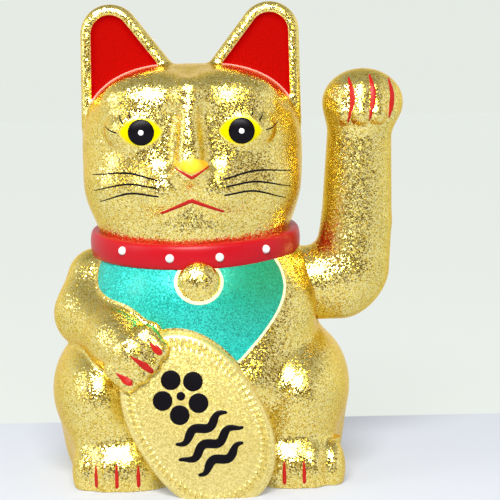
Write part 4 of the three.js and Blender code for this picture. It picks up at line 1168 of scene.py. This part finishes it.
def gold_skin(name, with_paint):
    """Gold glitter under a clear coat, with the sprayed zones over it, and among them a painted reflection
    and painted highlights.
    """
    material, nodes, shader = new_material(name)
    random = flakes(nodes)
    look = gold_look(nodes, random)
    if with_paint:
        look = over(nodes, look, zone(nodes, "tablet", 0.1, -0.1), tablet_look(nodes, random))
        on_bib = zone(nodes, "bib", 0.12, -0.12)
        look = over(nodes, look, on_bib, bib_look(nodes, random))
        # the unpainted edge of the bib and round the bell, in a flat pale cream that carries a painted
        # highlight
        unpainted_edge_and_highlight = nodes.math("MULTIPLY", zone(nodes, "bib_trim", -1.15, -0.75), on_bib)
        look = over(nodes, look, unpainted_edge_and_highlight, flat_look((0.82, 0.76, 0.47), 0.45))
        # painted reflection of the red ears: a red tint on the crown just in front of them
        painted_ear_reflection = nodes.math("MULTIPLY", zone(nodes, "ears_and_reflection", 0.0, -3.0), 0.6)
        look = over(nodes, look, painted_ear_reflection, {**look, "colour": (0.62, 0.09, 0.02)})
        # painted highlight: a pale pink line along the lower edge of the red in each ear, where the crown
        # meets the scoop
        painted_rim_highlight = nodes.math("MULTIPLY", zone(nodes, "ear", 0.55, 0.25), zone(nodes, "ears_and_reflection", -0.1, -0.4))
        look = over(nodes, look, painted_rim_highlight, flat_look((0.85, 0.35, 0.28)))
        look = over(nodes, look, zone(nodes, "ear", 0.1, -0.1), flat_look((0.34, 0.0005, 0.0008), 0.6))
        look = over(nodes, look, zone(nodes, "eye", 0.5, -0.9), flat_look((0.66, 0.56, 0.0)))
    nodes.fill(shader, {
        "Base Color": look["colour"],
        "Metallic": look["metallic"],
        "Roughness": look["roughness"],
        "Normal": tipped_normal(nodes, random, look["tilt"]),
        "Specular IOR Level": look["gloss"],
        "Coat Weight": look["coat"],
        "Coat Roughness": 0.2,
        "Coat IOR": 2.0,
        "Specular Tint": (1.0, 0.80, 0.30),
    })
    return material


def enamel(name, shade, roughness=0.22, metallic=0.0, gloss=0.5):
    """Smooth paint, plastic or metal with faint streaks."""
    material, nodes, shader = new_material(name)
    noise, bump = nodes.add("TexNoise"), nodes.add("Bump")
    grain = noise.outputs["Fac"]
    nodes.fill(noise, {"Vector": place_of(nodes), "Scale": 900.0})
    nodes.fill(bump, {"Strength": 0.12, "Distance": 0.1 * MM, "Height": grain})
    darker = [0.85 * part for part in shade]
    nodes.fill(shader, {
        "Base Color": nodes.mix(grain, darker, shade),
        "Roughness": roughness,
        "Metallic": metallic,
        "Specular IOR Level": gloss,
        "Normal": bump.outputs["Normal"],
    })
    return material


def nose_enamel():
    """Yellow-green in the middle and orange-yellow at the edges."""
    material, nodes, shader = new_material("nose_enamel")
    flat = nodes.vector("MULTIPLY", place_of(nodes), (1.0, 0.0, 1.3))
    off = nodes.vector("DISTANCE", flat, (-0.6 * MM, 0.0, 124.6 * 1.3 * MM))
    outward = nodes.ramp(off, 0.0, 5.0 * MM)
    shade = shades(nodes, outward, ((0.0, (0.72, 0.72, 0.02)), (1.0, (0.90, 0.42, 0.01))))
    nodes.fill(shader, {"Base Color": shade, "Roughness": 0.35})
    return material


TABLE_EDGE_Y = 82
WALL_TONE = (0.79, 0.83, 0.78)
FLOOR_REACH = 3000


def backdrop():
    """A pale bluish table; past its edge the ground glows in the tone of the wall behind."""
    corners = [(x * FLOOR_REACH, y * FLOOR_REACH, 0) for x, y in ((-1, -1), (1, -1), (1, 1), (-1, 1))]
    piece = make_piece("floor", corners, [(0, 1, 2, 3)])
    material, nodes, shader = new_material("backdrop")
    depth = parts_of(nodes, place_of(nodes))[1]
    behind = nodes.ramp(depth, (TABLE_EDGE_Y - 1) * MM, (TABLE_EDGE_Y + 1) * MM)
    nodes.fill(shader, {
        "Base Color": nodes.mix(behind, (0.44, 0.46, 0.50), (0.10, 0.10, 0.10)),
        "Emission Color": nodes.mix(behind, (0.22, 0.23, 0.25), (0.70, 0.74, 0.69)),
        "Emission Strength": 1.0,
        "Roughness": 0.7,
        "Specular IOR Level": 0.1,
    })
    piece.data.materials.append(material)


def sky():
    """A bright room, dim behind the camera and softer overhead; the camera sees it as a plain wall."""
    world = bpy.data.worlds.new("room")
    bpy.context.scene.world = world
    world.use_nodes = True
    nodes = Nodes(world.node_tree)
    direction = nodes.add("TexCoord").outputs["Generated"]
    behind = nodes.vector("DOT_PRODUCT", direction, (0.0, -1.0, 0.0))
    overhead = nodes.vector("DOT_PRODUCT", direction, (0.0, 0.0, 1.0))
    strength = nodes.math("MULTIPLY", nodes.ramp(behind, 0.5, 0.82, 1.0, 0.09),
                          nodes.ramp(overhead, 0.2, 0.9, 1.0, 0.4))
    seen = nodes.add("LightPath").outputs["Is Camera Ray"]
    background = nodes.add("Background")
    room = nodes.mix(nodes.ramp(behind, 0.5, 0.82), (0.96, 0.98, 1.0), (1.0, 0.62, 0.34))
    nodes.fill(background, {"Color": nodes.mix(seen, room, WALL_TONE),
                            "Strength": nodes.math("MAXIMUM", strength, seen)})
    nodes.put(nodes.add("OutputWorld").inputs["Surface"], background.outputs[0])


def softbox(name, place, size, watts, target=(0.0, 0.0, 0.1)):
    data = bpy.data.lights.new(name, "AREA")
    data.shape = "RECTANGLE"
    data.size, data.size_y = size
    data.energy = watts
    lamp = bpy.data.objects.new(name, data)
    lamp.location = place
    lamp.rotation_mode = "QUATERNION"
    lamp.rotation_quaternion = (Vector(target) - Vector(place)).to_track_quat("-Z", "Y")
    bpy.context.scene.collection.objects.link(lamp)


camera()
bpy.context.scene.view_settings.view_transform = "Standard"
backdrop()
sky()
softbox("key", (-0.05, -0.75, 0.72), (0.5, 0.25), 13.0)
softbox("fill", (-0.85, -0.4, 0.5), (0.22, 0.4), 1.6)

gold = gold_skin("gold_glitter", False)
painted_gold = gold_skin("painted_gold_glitter", True)
black = enamel("black_enamel", (0.004, 0.003, 0.005), 0.35, gloss=0.1)
red = enamel("red_enamel", (0.47, 0.001, 0.008), 0.36, gloss=0.25)
claw_red = enamel("claw_red", (0.48, 0.010, 0.004), 0.4, gloss=0.25)
white = enamel("white_enamel", (0.85, 0.85, 0.85))
black_plastic = enamel("black_plastic", (0.02, 0.02, 0.021), 0.5)
white_plastic = enamel("white_plastic", (0.80, 0.80, 0.76), 0.45)
green_board = enamel("green_board", (0.012, 0.14, 0.04), 0.4)
red_wire = enamel("red_wire", (0.45, 0.01, 0.015), 0.4)
blue_sleeve = enamel("blue_sleeve", (0.02, 0.09, 0.33), 0.3)
steel = enamel("steel", (0.62, 0.63, 0.65), 0.28, 1.0)
copper = enamel("copper", (0.72, 0.28, 0.12), 0.32, 1.0)
brass = enamel("brass", (0.78, 0.58, 0.22), 0.3, 1.0)

NEW_LOOKS = (
    (painted_gold, (front,)),
    (gold, (rear, arm_front, arm_rear)),
    (red, (collar_front, collar_rear)),
    (white, (stud_row, glints)),
    (black, (pupils, whiskers, lashes, mark_on_tablet)),
    (nose_enamel(), (nose,)),
    (claw_red, (mouth, foot_claws, resting_claws, raised_claws)),
)
for material, pieces in NEW_LOOKS:
    for piece in pieces:
        piece.data.materials.clear()
        piece.data.materials.append(material)

NODE_LOOKS = (
    (black_plastic, "base_plate battery_door switch_knob driver_chip capacitor wire_negative"),
    (white_plastic, "arm_socket pendulum_lever mechanism_frame coil_bobbin"),
    (steel, "axle pendulum_weight pendulum_magnet base_screw_1 base_screw_2 base_screw_3 base_screw_4 "
            "frame_screw_1 frame_screw_2 switch_body battery_contact battery_spring"),
    (brass, "axle_bush_inner axle_bush_outer"),
    (copper, "coil_winding wire_coil"),
    (green_board, "circuit_board"),
    (red_wire, "wire_positive"),
    (blue_sleeve, "battery_cell"),
)
for material, nodes_of_look in NODE_LOOKS:
    for node in nodes_of_look.split():
        for slot in bpy.data.objects[node].material_slots:
            slot.material = material

BODY_PIECES = (front, rear, collar_front, collar_rear, stud_row, pupils, glints, whiskers, lashes, nose,
               mouth, foot_claws, resting_claws, mark_on_tablet)
for piece in BODY_PIECES:
    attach(piece, "body")
for piece in (arm_front, arm_rear, raised_claws):
    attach(piece, "arm")
for piece, node in zip((front, rear, arm_front, arm_rear), SKINNED_NODES):
    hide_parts(node)
